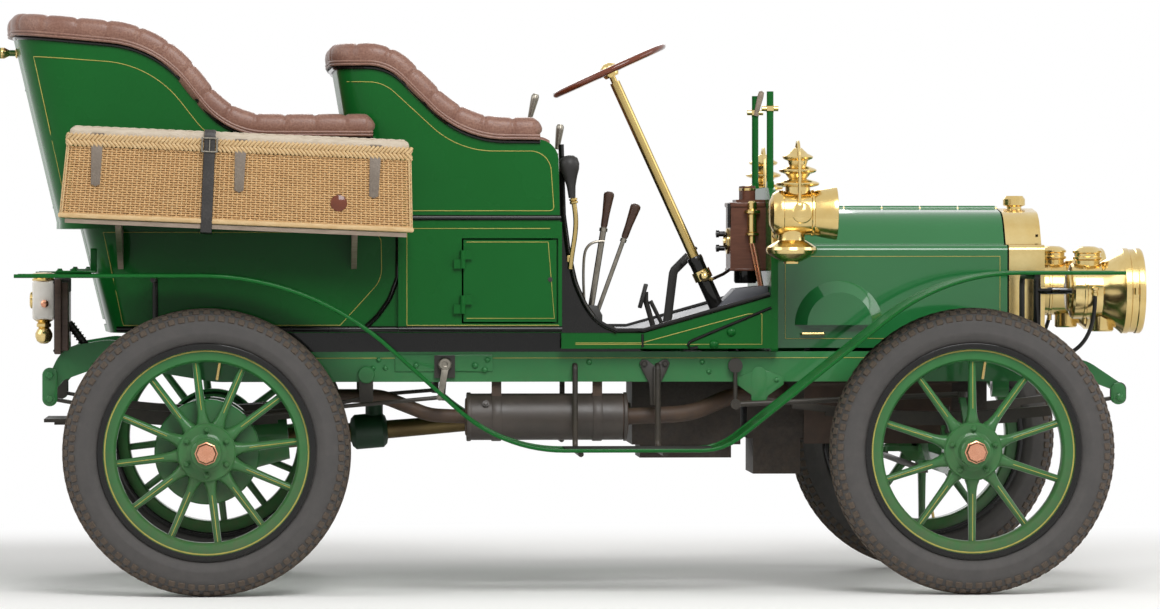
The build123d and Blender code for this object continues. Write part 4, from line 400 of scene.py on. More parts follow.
NODE_FINISHES: dict[str, Finish] = {
    "frame_rails": FRAME_GREEN, "cross_members": FRAME_GREEN, "springs": SPRING, "front_axle": FRAME_GREEN,
    "rear_axle": FRAME_GREEN, "shaft_cover": OILY_TUBE, "engine_and_gearbox": CAST, "undertray": TRAY,
    "exhaust": EXHAUST, "brake_gear": IRON, "knuckle_right": FRAME_GREEN, "knuckle_left": FRAME_GREEN,
    "track_rod": IRON, "drop_arm": IRON, "drag_link": IRON, "tonneau_body": GREEN, "tonneau_base": GREEN,
    "rear_door": GREEN, "front_seat_body": GREEN, "seat_box": GREEN, "locker_door": GREEN, "floor": GREEN,
    "body_sills": BLACK, "heel_board": HEEL_MAT, "steering_column": DULL_BRASS, "bonnet_right": BONNET_GREEN,
    "bonnet_left": BONNET_GREEN, "bonnet_hinge": BRASS, "radiator": BRASS, "radiator_core": CORE,
    "wings": GREEN, "wing_irons": IRON, "rear_step": IRON, "hamper_shelf": SHELF_WOOD, "dash": GREEN,
    "coil_box": COIL_WOOD, "driver_controls": IRON, "tail_lamp": BRASS, "headlamps": BRASS,
    "side_lamps": BRASS, "bulb_horn": HORN_RUBBER, "hamper": WILLOW, "hamper_strap": STRAP,
    "steering_wheel": MAHOGANY, "gas_hose_right": HORN_RUBBER, "gas_hose_left": HORN_RUBBER,
}


def rounded_line(corners: list[Point], step: float = 12.0) -> list[tuple[float, float]]:
    """Points along straight runs joined by arcs.

    Args:
        corners: two coordinates and the arc's radius at each corner.
        step: greatest distance between points on an arc.

    Returns:
        The points in order.
    """
    out = [tuple(corners[0][:2])]
    for (ax, ay, _), (bx, by, r), (cx, cy, _) in zip(corners, corners[1:], corners[2:]):
        before, after = Vector((ax - bx, ay - by)), Vector((cx - bx, cy - by))
        before.normalize()
        after.normalize()
        half = before.angle(after) / 2
        if r <= 0 or half > math.pi / 2 - 1e-3:
            out.append((bx, by))
            continue
        reach = r / math.tan(half)
        middle = Vector((bx, by)) + (before + after).normalized() * (r / math.sin(half))
        first = Vector((bx, by)) + before * reach - middle
        sweep = math.pi - 2 * half
        turn = 1 if before.x * after.y - before.y * after.x < 0 else -1
        count = max(2, int(r * sweep / step))
        for i in range(count + 1):
            arm = first.copy()
            arm.rotate(Matrix.Rotation(turn * sweep * i / count, 2))
            out.append(tuple(middle + arm))
    out.append(tuple(corners[-1][:2]))
    return out


def spaced(points: list[Vector], step: float) -> list[Vector]:
    """The same line with points at even distances.

    Args:
        points: the line.
        step: about the distance between points.

    Returns:
        Evenly spaced points, both ends kept.
    """
    lengths = [0.0]
    for a, b in zip(points, points[1:]):
        lengths.append(lengths[-1] + (b - a).length)
    count = max(2, round(lengths[-1] / step))
    out, seg = [], 0
    for i in range(count + 1):
        want = lengths[-1] * i / count
        while seg < len(points) - 2 and lengths[seg + 1] < want:
            seg += 1
        run = lengths[seg + 1] - lengths[seg]
        out.append(points[seg].lerp(points[seg + 1], (want - lengths[seg]) / run if run else 0.0))
    return out


def frames_along(points: list[Vector], up: Vector = Vector(UP)) -> list[Matrix]:
    """Frames whose Z runs along a line and whose Y leans towards up.

    Args:
        points: the line.
        up: the direction that Y keeps to.

    Returns:
        One matrix a point.
    """
    out = []
    for i, p in enumerate(points):
        along = (points[min(i + 1, len(points) - 1)] - points[max(i - 1, 0)]).normalized()
        side = up.cross(along).normalized()
        top = along.cross(side)
        out.append(Matrix.Translation(p) @ Matrix((side, top, along)).transposed().to_4x4())
    return out


class Shape:
    """A mesh in the making, in millimetres from the rear axle."""

    def __init__(self) -> None:
        """An empty shape."""
        self.bm = bmesh.new()

    def add(self, other: Shape, matrix: Matrix = Matrix()) -> Shape:
        """Takes in another shape's mesh.

        Args:
            other: the shape to take in.
            matrix: where it goes.

        Returns:
            This shape.
        """
        mesh = bpy.data.meshes.new("part")
        other.bm.to_mesh(mesh)
        mesh.transform(matrix)
        self.bm.from_mesh(mesh)
        bpy.data.meshes.remove(mesh)
        return self

    def both(self) -> Shape:
        """Adds the twin on the car's other side, and returns itself."""
        twin = bmesh.ops.duplicate(self.bm,
                                   geom=self.bm.verts[:] + self.bm.edges[:] + self.bm.faces[:])["geom"]
        verts = [g for g in twin if isinstance(g, bmesh.types.BMVert)]
        faces = [g for g in twin if isinstance(g, bmesh.types.BMFace)]
        bmesh.ops.scale(self.bm, vec=(1, -1, 1), verts=verts)
        bmesh.ops.reverse_faces(self.bm, faces=faces)
        return self

    def around(self, centre: Point, axis: Point, count: int) -> Shape:
        """Repeats the shape evenly about an axis.

        Args:
            centre: a point on the axis.
            axis: its direction.
            count: how many there are in the end.

        Returns:
            This shape.
        """
        geom = self.bm.verts[:] + self.bm.edges[:] + self.bm.faces[:]
        bmesh.ops.spin(self.bm, geom=geom, cent=centre, axis=axis, angle=2 * math.pi * (count - 1) / count,
                       steps=count - 1, use_duplicate=True, use_merge=False)
        return self

    def moved(self, matrix: Matrix) -> Shape:
        """Moves the whole shape, and returns itself."""
        bmesh.ops.transform(self.bm, matrix=matrix, verts=self.bm.verts)
        return self

    def piece(self, name: str, body: str, finish: Finish, sharp: float = 38.0) -> bpy.types.Object:
        """Turns the shape into a Blender object that rides on a body.

        Args:
            name: the object's name.
            body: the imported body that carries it.
            finish: its finish.
            sharp: edges that turn by more than this many degrees stay crisp.

        Returns:
            The object.
        """
        self.moved(Matrix.Scale(MM, 4) @ Matrix.Translation((REAR_AXLE_X, 0, 0)))
        mesh = bpy.data.meshes.new(name)
        self.bm.to_mesh(mesh)
        self.bm.free()
        mesh.shade_smooth()
        mesh.set_sharp_from_angle(angle=math.radians(sharp))
        mesh.materials.append(finish.material())
        obj = bpy.data.objects.new(name, mesh)
        bpy.context.scene.collection.objects.link(obj)
        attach(obj, body)
        LOG.info("%s on %s: %d faces", name, body, len(mesh.polygons))
        return obj


def aim(origin: Point, axis: Point) -> Matrix:
    """A place whose Z points along an axis."""
    turn = Vector(UP).rotation_difference(Vector(axis)).to_matrix().to_4x4()
    return Matrix.Translation(origin) @ turn


def lathe(profile: list[tuple[float, float]], origin: Point, axis: Point = UP, steps: int = 48) -> Shape:
    """A turned piece.

    Args:
        profile: radius and distance along the axis, from one end to the other.
        origin: where distance 0 lies.
        axis: the axis to turn about.
        steps: facets around.

    Returns:
        The closed shape.
    """
    shape = Shape()
    bm = shape.bm
    verts = [bm.verts.new((r, 0, along)) for r, along in profile]
    edges = [bm.edges.new(ends) for ends in zip(verts, verts[1:])]
    bmesh.ops.spin(bm, geom=verts + edges, cent=ORIGIN, axis=UP, angle=2 * math.pi, steps=steps,
                   use_merge=True)
    bmesh.ops.remove_doubles(bm, verts=bm.verts, dist=1e-4)
    bmesh.ops.recalc_face_normals(bm, faces=bm.faces)
    return shape.moved(aim(origin, axis))


def block(low: Point, high: Point, bevel: float = 2.0, segments: int = 2) -> Shape:
    """A block with eased edges.

    Args:
        low: its lowest corner.
        high: its highest corner.
        bevel: width of the eased edges, 0 for sharp ones.
        segments: facets across each of them.

    Returns:
        The closed shape.
    """
    shape = Shape()
    size = [b - a for a, b in zip(low, high)]
    middle = [(a + b) / 2 for a, b in zip(low, high)]
    bmesh.ops.create_cube(shape.bm, size=1.0, matrix=Matrix.Translation(middle) @ Matrix.Diagonal((*size, 1)))
    if bevel:
        bmesh.ops.bevel(shape.bm, geom=shape.bm.edges[:],
                        offset=min(bevel, min(size) * 0.45), offset_type="OFFSET", segments=segments,
                        profile=0.5, affect="EDGES", material=-1)
    return shape


def plate(outline: list[Point], push: Point, bevel: float = 0.0) -> Shape:
    """A flat outline given a thickness.

    Args:
        outline: the corners in order.
        push: thickness as a direction.
        bevel: easing of the edges.

    Returns:
        The closed shape.
    """
    shape = Shape()
    face = shape.bm.faces.new([shape.bm.verts.new(p) for p in outline])
    grown = bmesh.ops.extrude_face_region(shape.bm, geom=[face], use_keep_orig=True)["geom"]
    bmesh.ops.translate(shape.bm, vec=push, verts=[g for g in grown if isinstance(g, bmesh.types.BMVert)])
    bmesh.ops.recalc_face_normals(shape.bm, faces=shape.bm.faces)
    if bevel:
        bmesh.ops.bevel(shape.bm, geom=shape.bm.edges[:],
                        offset=bevel, offset_type="OFFSET", segments=2, profile=0.5, affect="EDGES",
                        material=-1, clamp_overlap=True)
    return shape


def rods(lines: list[list[Vector | Point]], radius: float, sides: int = 2, closed: bool = False,
         smooth: bool = False) -> Shape:
    """Round rods or wires along lines.

    Args:
        lines: one list of points a rod.
        radius: the rods' radius.
        sides: roundness; 2 gives eight facets.
        closed: joins each line's ends.
        smooth: draws a flowing line near the points in place of straight runs.

    Returns:
        The shape of all rods.
    """
    curve = bpy.data.curves.new("rods", "CURVE")
    curve.dimensions = "3D"
    curve.bevel_depth = radius
    curve.bevel_resolution = sides
    curve.use_fill_caps = True
    curve.resolution_u = 6
    for line in lines:
        spline = curve.splines.new("NURBS" if smooth else "POLY")
        spline.points.add(len(line) - 1)
        for point, place in zip(spline.points, line):
            point.co = (*place, 1.0)
        spline.use_cyclic_u = closed
        if smooth:
            spline.order_u = 4
            spline.use_endpoint_u = not closed
    obj = bpy.data.objects.new("rods", curve)
    mesh = bpy.data.meshes.new_from_object(obj)
    shape = Shape()
    shape.bm.from_mesh(mesh)
    bpy.data.objects.remove(obj)
    bpy.data.curves.remove(curve)
    bpy.data.meshes.remove(mesh)
    return shape


def skin(profile: list[tuple[float, float]], frames: list[Matrix]) -> Shape:
    """A closed tube whose section is set by a frame at each ring.

    Args:
        profile: the section's corners.
        frames: place, turn and scale of each ring.

    Returns:
        The closed shape.
    """
    shape = Shape()
    bm = shape.bm
    ring = [bm.verts.new(frames[0] @ Vector((u, v, 0))) for u, v in profile]
    bm.faces.new(ring)
    edges = [bm.edges.get((a, b)) for a, b in zip(ring, ring[1:] + ring[:1])]
    for frame in frames[1:]:
        grown = bmesh.ops.extrude_edge_only(bm, edges=edges)["geom"]
        fresh = [g for g in grown if isinstance(g, bmesh.types.BMVert)]
        for vert, (u, v) in zip(fresh, profile):
            vert.co = frame @ Vector((u, v, 0))
        edges = [bm.edges.get((a, b)) for a, b in zip(fresh, fresh[1:] + fresh[:1])]
        ring = fresh
    bm.faces.new(ring)
    bmesh.ops.recalc_face_normals(bm, faces=bm.faces)
    return shape


def oval(half_w: float, half_h: float, count: int = 16, square: float = 2.0) -> list[tuple[float, float]]:
    """A rounded section.

    Args:
        half_w: half its width.
        half_h: half its height.
        count: corners around.
        square: 2 gives an ellipse, more a boxier form.

    Returns:
        The corners in order.
    """
    out = []
    for i in range(count):
        turn = 2 * math.pi * i / count
        c, s = math.cos(turn), math.sin(turn)
        out.append((math.copysign(abs(c) ** (2 / square), c) * half_w,
                    math.copysign(abs(s) ** (2 / square), s) * half_h))
    return out


def bolt(origin: Point, axis: Point, radius: float = 9.0, height: float = 7.0) -> Shape:
    """A hexagon bolt head on a thin washer.

    Args:
        origin: where the washer lies.
        axis: the way the head points.
        radius: the head's radius at its corners.
        height: how far it stands out.

    Returns:
        The head and its washer.
    """
    shape = lathe([(0, 0), (radius * 1.35, 0), (radius * 1.35, 2), (radius, 2), (0, 2.5)], origin, axis, 16)
    head = lathe([(0, 1.5), (radius, 1.5), (radius, height), (radius * 0.8, height + 1.5), (0, height + 1.5)],
                 origin, axis, 6)
    return shape.add(head)


def rivet(origin: Point, axis: Point, radius: float = 6.0) -> Shape:
    """A round-headed rivet."""
    return lathe([(radius, -1), (radius, 0.5), (radius * 0.8, radius * 0.45), (radius * 0.4, radius * 0.68),
                  (0, radius * 0.75)], origin, axis, 12)


@dataclass
class Studio:
    """Floor, light and the camera at the photograph's viewing angle."""

    eye: Point = (264.8, -16650.0, 1013.6)
    focal_px: float = 5620.0
    level_px: tuple[float, float] = (300.0, 240.0)
    lamps: tuple = (
        # name, place in metres, size in metres, watts
        ("key", (1.0, -6.0, 5.4), 3.6, 400.0),
        ("rear_fill", (-5.5, -2.5, 4.0), 4.0, 110.0),
        ("front_fill", (6.0, -1.5, 3.5), 3.5, 110.0),
        ("far_side", (0.0, 6.0, 3.8), 3.0, 110.0),
    )
    sky: float = 0.34
    white_from: tuple[float, float] = (1.9, 3.4)
    aim_z: float = 0.7
    floor_half: float = 40.0
    floor_stretch: Point = (0.55, 1.0, 1.0)

    def camera(self) -> None:
        """Sets the camera where the photograph was taken from."""
        data = bpy.data.cameras.new("camera")
        data.sensor_width = 36.0
        data.lens = self.focal_px * data.sensor_width / PHOTO_W
        data.clip_end = 200.0
        cam = bpy.data.objects.new("camera", data)
        across = (PHOTO_W / 2 - self.level_px[0]) / self.focal_px
        down = (PHOTO_H / 2 - self.level_px[1]) / self.focal_px
        cam.location = to_row(*self.eye)
        cam.rotation_euler = Vector((across, 1.0, -down)).to_track_quat("-Z", "Y").to_euler()
        bpy.context.scene.collection.objects.link(cam)
        bpy.context.scene.camera = cam

    def light(self) -> None:
        """Soft lamps and a pale world that metal can mirror."""
        for name, place, size, watts in self.lamps:
            data = bpy.data.lights.new(name, "AREA")
            data.size = size
            data.energy = watts
            lamp = bpy.data.objects.new(name, data)
            lamp.location = place
            sight = Vector((0, 0, self.aim_z)) - Vector(place)
            lamp.rotation_euler = sight.to_track_quat("-Z", "Y").to_euler()
            bpy.context.scene.collection.objects.link(lamp)
        world = bpy.data.worlds.new("studio")
        bpy.context.scene.world = world
        world.use_nodes = True
        tree = world.node_tree
        back = tree.nodes["Background"]
        back.inputs["Color"].default_value = (1, 1, 1, 1)
        tree.links.new(self.glow(tree), back.inputs["Strength"])

    def glow(self, tree: bpy.types.NodeTree) -> bpy.types.NodeSocket:
        """Brightness of the backdrop: white where it is seen, softer where it lights the car.

        Args:
            tree: the node tree to add to.

        Returns:
            The socket that carries the brightness.
        """
        ray = add_node(tree, "ShaderNodeLightPath")
        seen = ray.outputs["Is Camera Ray"]
        for kind in ("Is Glossy Ray", "Is Transmission Ray"):
            seen = add_node(tree, "ShaderNodeMath", {0: seen, 1: ray.outputs[kind]},
                            operation="MAXIMUM").outputs[0]
        level = add_node(tree, "ShaderNodeMapRange", {"Value": seen, "To Min": self.sky, "To Max": 1.0})
        return level.outputs["Result"]

    def floor(self) -> None:
        """A plain pale floor that keeps the car's shadow and fades into the backdrop."""
        mesh = bpy.data.meshes.new("floor")
        bm = bmesh.new()
        bmesh.ops.create_grid(bm, x_segments=1, y_segments=1, size=self.floor_half)
        bm.to_mesh(mesh)
        bm.free()
        obj = bpy.data.objects.new("floor", mesh)
        bpy.context.scene.collection.objects.link(obj)
        mat = bpy.data.materials.new("matt_pale_floor")
        mat.use_nodes = True
        tree = mat.node_tree
        paint = tree.nodes["Principled BSDF"]
        paint.inputs["Base Color"].default_value = linear("#f7f6f4")
        paint.inputs["Roughness"].default_value = 0.9
        place = add_node(tree, "ShaderNodeTexCoord").outputs["Object"]
        oval_place = add_node(tree, "ShaderNodeMapping", {"Vector": place, "Scale": self.floor_stretch})
        away = add_node(tree, "ShaderNodeVectorMath", {0: oval_place.outputs["Vector"]}, operation="LENGTH")
        fade = add_node(tree, "ShaderNodeMapRange", {
            "Value": away.outputs["Value"], "From Min": self.white_from[0], "From Max": self.white_from[1]},
            interpolation_type="SMOOTHSTEP")
        white = add_node(tree, "ShaderNodeEmission", {"Color": (1, 1, 1, 1), "Strength": self.glow(tree)})
        mix = add_node(tree, "ShaderNodeMixShader", {
            0: fade.outputs["Result"], 1: paint.outputs["BSDF"], 2: white.outputs["Emission"]})
        tree.links.new(mix.outputs["Shader"], tree.nodes["Material Output"].inputs["Surface"])
        mesh.materials.append(mat)
        obj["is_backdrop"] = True


@dataclass
class ArtilleryWheel:
    """A wooden wheel with steel rim and beaded edge tyre, outer face towards its own side."""

    name: str
    axle_x: float
    side: int
    spokes: int
    first_turn: float
    bolts: int
    drum: bool
    radius: float = 410.0
    track_half: float = 650.0
    felloe: tuple[float, float] = (259.0, 294.0)
    spoke_rings: tuple = (
        # radius, half width along the rim, half depth along the axle
        (70.0, 18.0, 27.0), (84.0, 21.5, 27.0), (98.0, 16.0, 24.5), (116.0, 13.0, 21.0), (150.0, 12.0, 18.5),
        (210.0, 11.0, 16.5), (264.0, 10.5, 15.5),
    )
    tread_rows: tuple = (
        # distance across the tyre, radius of the block's foot, lean in degrees
        (-46.5, 380.5, -62.0), (-31.0, 396.0, -36.0), (-11.0, 403.0, -12.0), (11.0, 403.0, 12.0),
        (31.0, 396.0, 36.0), (46.5, 380.5, 62.0),
    )
    tread_blocks: int = 84

    def place(self) -> Matrix:
        """The wheel's own frame: Z along the axle, pointing out of the car."""
        centre = Matrix.Translation((self.axle_x, self.side * self.track_half, self.radius))
        return centre @ Matrix.Rotation(math.radians(-90 * self.side), 4, "X")

    def timber(self) -> Shape:
        """Spokes, felloe and hub disc."""
        inner, outer = self.felloe
        shape = lathe([(inner, -27), (inner + 5, -32), (outer, -32), (outer, 32), (inner + 5, 32),
                       (inner, 27), (inner - 2, 18), (inner - 2, -18), (inner, -27)], ORIGIN, steps=96)
        shape.add(lathe([(0, -30), (84, -30), (84, 30), (0, 30)], ORIGIN, steps=48))
        quarter = Matrix.Rotation(math.radians(-90), 4, "X")
        rings = [Matrix.Translation((0, r, 0)) @ quarter @ Matrix.Diagonal((half_w, half_d, 1, 1))
                 for r, half_w, half_d in self.spoke_rings]
        return shape.add(self.at_spokes(skin(oval(1, 1, 14, 2.6), rings)))

    def at_spokes(self, shape: Shape) -> Shape:
        """Turns a shape to the first spoke and repeats it at the others."""
        turn = math.radians(self.first_turn - 90) * -self.side
        return shape.moved(Matrix.Rotation(turn, 4, "Z")).around(ORIGIN, UP, self.spokes)

    def metal(self) -> Shape:
        """Hub flange with its boss and bolts."""
        shape = lathe([(0, 30), (82, 30), (82, 34), (79, 37), (56, 37), (50, 41), (44, 42), (43, 96),
                       (39, 100), (0, 100)], ORIGIN, steps=64)
        heads = lathe([(9, 0), (9, 5), (6, 8), (0, 8.5)], (0, 65, 36.5), steps=10)
        heads.add(lathe([(4.5, 0), (4.5, 13), (0, 14)], (0, 65, 37), steps=8))
        shape.add(heads.around(ORIGIN, UP, self.bolts))
        shape.add(lathe([(45, -62), (45, -36), (82, -36), (82, -30), (0, -30)], ORIGIN, steps=48))
        return shape

    def rim(self) -> Shape:
        """Steel clincher rim round the felloe."""
        return lathe([(293, -46), (302, -48), (309, -46), (309, -41), (301, -39), (301, 39), (309, 41),
                      (309, 46), (302, 48), (293, 46), (293, -46)], ORIGIN, steps=96)

    def brake(self) -> Shape:
        """Drum behind a rear wheel."""
        return lathe([(40, -36), (146, -36), (150, -40), (150, -100), (142, -100), (142, -46), (40, -46)],
                     ORIGIN, steps=64)

    def carcass(self) -> Shape:
        """Tyre wall from bead to bead, with two moulded rings."""
        half = [(301, 38), (310, 39), (313, 44), (322, 52), (334, 55.8), (338, 56.9), (342, 56.9),
                (346, 56.2), (362, 56), (375, 52), (385, 46.5), (392, 41), (399, 31), (403, 20), (405, 8)]
        profile = half + [(r, -w) for r, w in reversed(half)] + [half[0]]
        return lathe(profile, ORIGIN, steps=128)

    def tread(self) -> Shape:
        """Moulded blocks in staggered rows."""
        shape = Shape()
        for row, (across, foot, lean) in enumerate(self.tread_rows):
            tile = block((-9.5, -8.5, -5), (9.5, 8.5, 5.6 if abs(across) < 20 else 6.5), 1.6, 1)
            stand = Matrix.Translation((0, foot, across)) @ Matrix.Rotation(math.radians(-90 + lean), 4, "X")
            tile.moved(Matrix.Rotation(row % 2 * math.pi / self.tread_blocks, 4, "Z") @ stand)
            shape.add(tile.around(ORIGIN, UP, self.tread_blocks))
        return shape

    def lining(self) -> Shape:
        """Gold lines on spokes and felloe."""
        shape = lathe([(287, 32.2), (289, 32.7), (291, 32.2)], ORIGIN, steps=96)
        stripe = rods([[(0, 122, 20.4), (0, 150, 18.8), (0, 210, 16.8), (0, 256, 15.9)]], 1.1, 0)
        return shape.add(self.at_spokes(stripe))

    def build(self) -> None:
        """Makes the wheel's pieces and hides the plain solids."""
        body = self.name
        here = self.place()
        timber = self.timber().moved(here).piece(f"{body}_timber", body, WHEEL_GREEN)
        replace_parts(timber, body)
        self.metal().moved(here).piece(f"{body}_hub", body, WHEEL_GREEN, 30)
        self.rim().moved(here).piece(f"{body}_rim", body, BLACK)
        self.lining().moved(here).piece(f"{body}_lining", body, GOLD_LINE)
        cap = lathe([(33, 100), (33, 103), (30, 104), (30, 113), (26, 119), (0, 120)],
                    ORIGIN, steps=8).moved(here)
        cap.piece(f"{body}_cap", body, COPPER, 25)
        if self.drum:
            self.brake().moved(here).piece(f"{body}_drum", body, FRAME_GREEN)
        valve = rods([[(38, 262, 6), (33, 232, 6), (29, 206, 6)]], 4.5, 2)
        valve.moved(here).piece(f"{body}_valve", body, DULL_BRASS)
        tyre = self.carcass().moved(here).piece(f"{body}_carcass", body, RUBBER, 60)
        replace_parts(tyre, body.replace("wheel", "tyre"))
        self.tread().moved(here).piece(f"{body}_tread", body, TREAD)


@dataclass
class TubWall:
    """The outer wall of a seat tub: straight sides, round back corners and a leaning back."""

    name: str
    half_w: float
    back_x: float
    lean: float
    bulge: float
    corner_r: float
    deck_z: float

    def section(self, inset: float, front_x: float, z: float) -> list[Vector]:
        """The right half of the wall's plan at one height.

        Args:
            inset: distance in from the outer face.
            front_x: where the side starts.
            z: the height.

        Returns:
            Points from the front end to the middle of the back.
        """
        back = self.back_x - self.lean * (z - self.deck_z) + inset
        corners = [(front_x, -self.half_w + inset, 0), (back, -self.half_w + inset, self.corner_r - inset),
                   (back - self.bulge, 0, 0)]
        return spaced([Vector((x, y, z)) for x, y in rounded_line(corners, 18.0)], 7.0)

    def drawn(self, corners: list[Point], radius: float = GOLD_R) -> Shape:
        """A painted line on the wall and its twin on the left.

        Args:
            corners: x, z and bend radius of each corner, as seen from the side.
            radius: half the line's width.

        Returns:
            The line, wrapped round the wall's corner.
        """
        points = []
        for p in spaced([Vector((x, 0, z)) for x, z in rounded_line(corners, 8.0)], 12.0):
            wall = self.section(-0.5, 1000.0, p.z)
            near = min(zip(wall, wall[1:]), key=lambda ends: abs(ends[0].x + ends[1].x - 2 * p.x))
            points.append(Vector((p.x, (near[0].y + near[1].y) / 2, p.z)))
        return rods([points], radius, 1).both()


@dataclass
class LeatherTub(TubWall):
    """Padded leather inside and on the rim of one of the two seat tubs."""

    top: list[Point]
    front_x: float
    squab_front_x: float
    squab_low: float
    door_half_w: float = 0.0
    door_gap: float = 18.0
    door_pad_low: float = 1120.0
    pleat: float = 86.0
    pinch_part: float = 0.13
    pinch_reach: float = 5.0
    swell_part: float = 0.03
    end_reach: float = 26.0
    roll_inset: float = 12.5
    roll_lift: float = 30.0
    roll_half: tuple[float, float] = (30.0, 33.0)
    squab_inset: float = 47.0
    squab_lift: float = 10.0
    squab_half: float = 22.0
    flute: float = 72.0
    beads: tuple = (
        # distance in from the wall's face, height over its top edge, radius
        (-14.0, 11.0, 4.5), (-13.0, 3.0, 4.5), (-3.5, -6.0, 6.0),
    )

    def top_z(self, x: float) -> float:
        """Height of the tub's top edge.

        Args:
            x: the place along the car.

        Returns:
            The height above the ground.
        """
        line = rounded_line(self.top)
        for (ax, az), (bx, bz) in zip(line, line[1:]):
            if ax <= x <= bx:
                return az + (bz - az) * (x - ax) / (bx - ax)
        return line[0][1] if x < line[0][0] else line[-1][1]

    def plan(self, inset: float, front_x: float, low: float | None = None, lift: float = 0.0) -> list[Vector]:
        """The right half of the tub's plan, from its front end to the middle of the back.

        Args:
            inset: distance in from the outer face.
            front_x: where the side starts.
            low: a level height, or the top edge where it is None.
            lift: height above that.

        Returns:
            Points with the height at each place.
        """
        fine = self.section(inset, front_x, low if low is not None else self.top_z(self.back_x))
        return [Vector((p.x, p.y, (low if low is not None else self.top_z(p.x)) + lift)) for p in fine]

    def roll(self) -> Shape:
        """The roll along the top edge, pinched at every pleat."""
        path = self.plan(self.roll_inset, self.front_x, None, self.roll_lift)
        return self.rolled(self.beside_door(path), bool(self.door_half_w))

    def rolled(self, path: list[Vector], round_end: bool) -> Shape:
        """A stuffed roll along a line.

        Args:
            path: the roll's middle line.
            round_end: whether the far end is closed as the near one is.

        Returns:
            The closed roll.
        """
        frames = frames_along(spaced(path, 6.0))
        shaped, run = [], 0.0
        total = sum((b.translation - a.translation).length for a, b in zip(frames, frames[1:]))
        for i, frame in enumerate(frames):
            if i:
                run += (frame.translation - frames[i - 1].translation).length
            off = abs((run + self.pleat / 2) % self.pleat - self.pleat / 2)
            pinch = 1 - self.pinch_part * math.exp(-(off / self.pinch_reach) ** 2)
            pinch += self.swell_part * math.sin(math.pi * off / self.pleat)
            near = min(run, total - run if round_end else total)
            ends = min(1.0, math.sqrt(max(0.03, near / self.end_reach)))
            shaped.append(frame @ Matrix.Diagonal((pinch * ends, pinch * ends, 1, 1)))
        return skin(oval(*self.roll_half, 20, 2.5), shaped)

    def piping(self) -> list[Shape]:
        """Two leather beads and one black moulding under the roll, outside."""
        beads = []
        for inset, lift, radius in self.beads:
            line = self.beside_door(self.plan(inset, self.front_x - 6, None, lift))
            beads.append(rods([spaced(line, 14.0)], radius, 2).both())
        return beads

    def squab(self) -> Shape:
        """Fluted padding on the inner wall, from the cushion to the roll."""
        low = self.plan(self.squab_inset, self.squab_front_x, self.squab_low)
        high = self.plan(self.squab_inset, self.squab_front_x, None, self.squab_lift)
        return self.fluted(self.beside_door(low), self.beside_door(high))

    def beside_door(self, line: list[Vector]) -> list[Vector]:
        """The part of a line that doesn't ride on the rear door."""
        return [p for p in line if -p.y >= self.door_half_w]

    def fluted(self, low: list[Vector], high_line: list[Vector]) -> Shape:
        """Upright flutes between a lower and an upper line.

        Args:
            low: the line along the bottom.
            high_line: the line along the top.

        Returns:
            The closed padding.
        """
        count = len(low)
        high = spaced(high_line, sum((b - a).length for a, b in zip(high_line, high_line[1:])) / (count - 1))
        frames, run = [], 0.0
        for i in range(count):
            foot, head = low[i], high[min(i, len(high) - 1)]
            ahead = low[min(i + 1, count - 1)] - low[max(i - 1, 0)]
            run += ahead.length / 2
            flute = 0.62 + 0.38 * abs(math.sin(math.pi * run / self.flute)) ** 0.6
            up = head - foot
            out = ahead.normalized().cross(Vector(UP))
            middle = (foot + head) / 2
            turn = Matrix((out, up.normalized(), ahead.normalized())).transposed().to_4x4()
            size = Matrix.Diagonal((self.squab_half * flute, up.length / 2, 1, 1))
            frames.append(Matrix.Translation(middle) @ turn @ size)
        return skin(oval(1, 1, 20, 5.0), frames)

    def door_line(self, inset: float, low: float | None, lift: float) -> list[Vector]:
        """The part of the plan that rides on the rear door.

        Args:
            inset: distance in from the outer face.
            low: a level height, or the top edge where it is None.
            lift: height above that.

        Returns:
            Points from side to side.
        """
        line = self.plan(inset, self.front_x, low, lift)
        half = [p for p in line if -p.y < self.door_half_w - self.door_gap]
        return half + [Vector((p.x, -p.y, p.z)) for p in reversed(half[:-1])]

    def build_door(self, node: str) -> None:
        """Makes the leather of the rear door.

        Args:
            node: the plain solid that it stands for.
        """
        middle = self.door_line(self.roll_inset, None, self.roll_lift)
        roll = self.rolled(middle, True).piece("rear_door_roll", "rear_door", HIDE, 55)
        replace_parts(roll, node)
        pad = self.fluted(self.door_line(self.squab_inset, self.door_pad_low, 0.0),
                          self.door_line(self.squab_inset, None, self.squab_lift))
        pad.piece("rear_door_squab", "rear_door", HIDE, 60)
        piping = Shape()
        for inset, lift, radius in self.beads[:2]:
            piping.add(rods([spaced(self.door_line(inset, None, lift), 14.0)], radius, 2))
        piping.piece("rear_door_piping", "rear_door", HIDE)

    def build(self, node: str) -> None:
        """Makes the leather pieces of this tub.

        Args:
            node: the plain solid that they stand for.
        """
        roll = self.roll().both().piece(f"{self.name}_roll", "chassis", HIDE, 55)
        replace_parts(roll, node)
        squab = self.squab().both().piece(f"{self.name}_squab", "chassis", HIDE, 60)
        upper, lower, mould = self.piping()
        upper.add(lower).piece(f"{self.name}_piping", "chassis", HIDE)
        mould.piece(f"{self.name}_moulding", "chassis", BLACK)


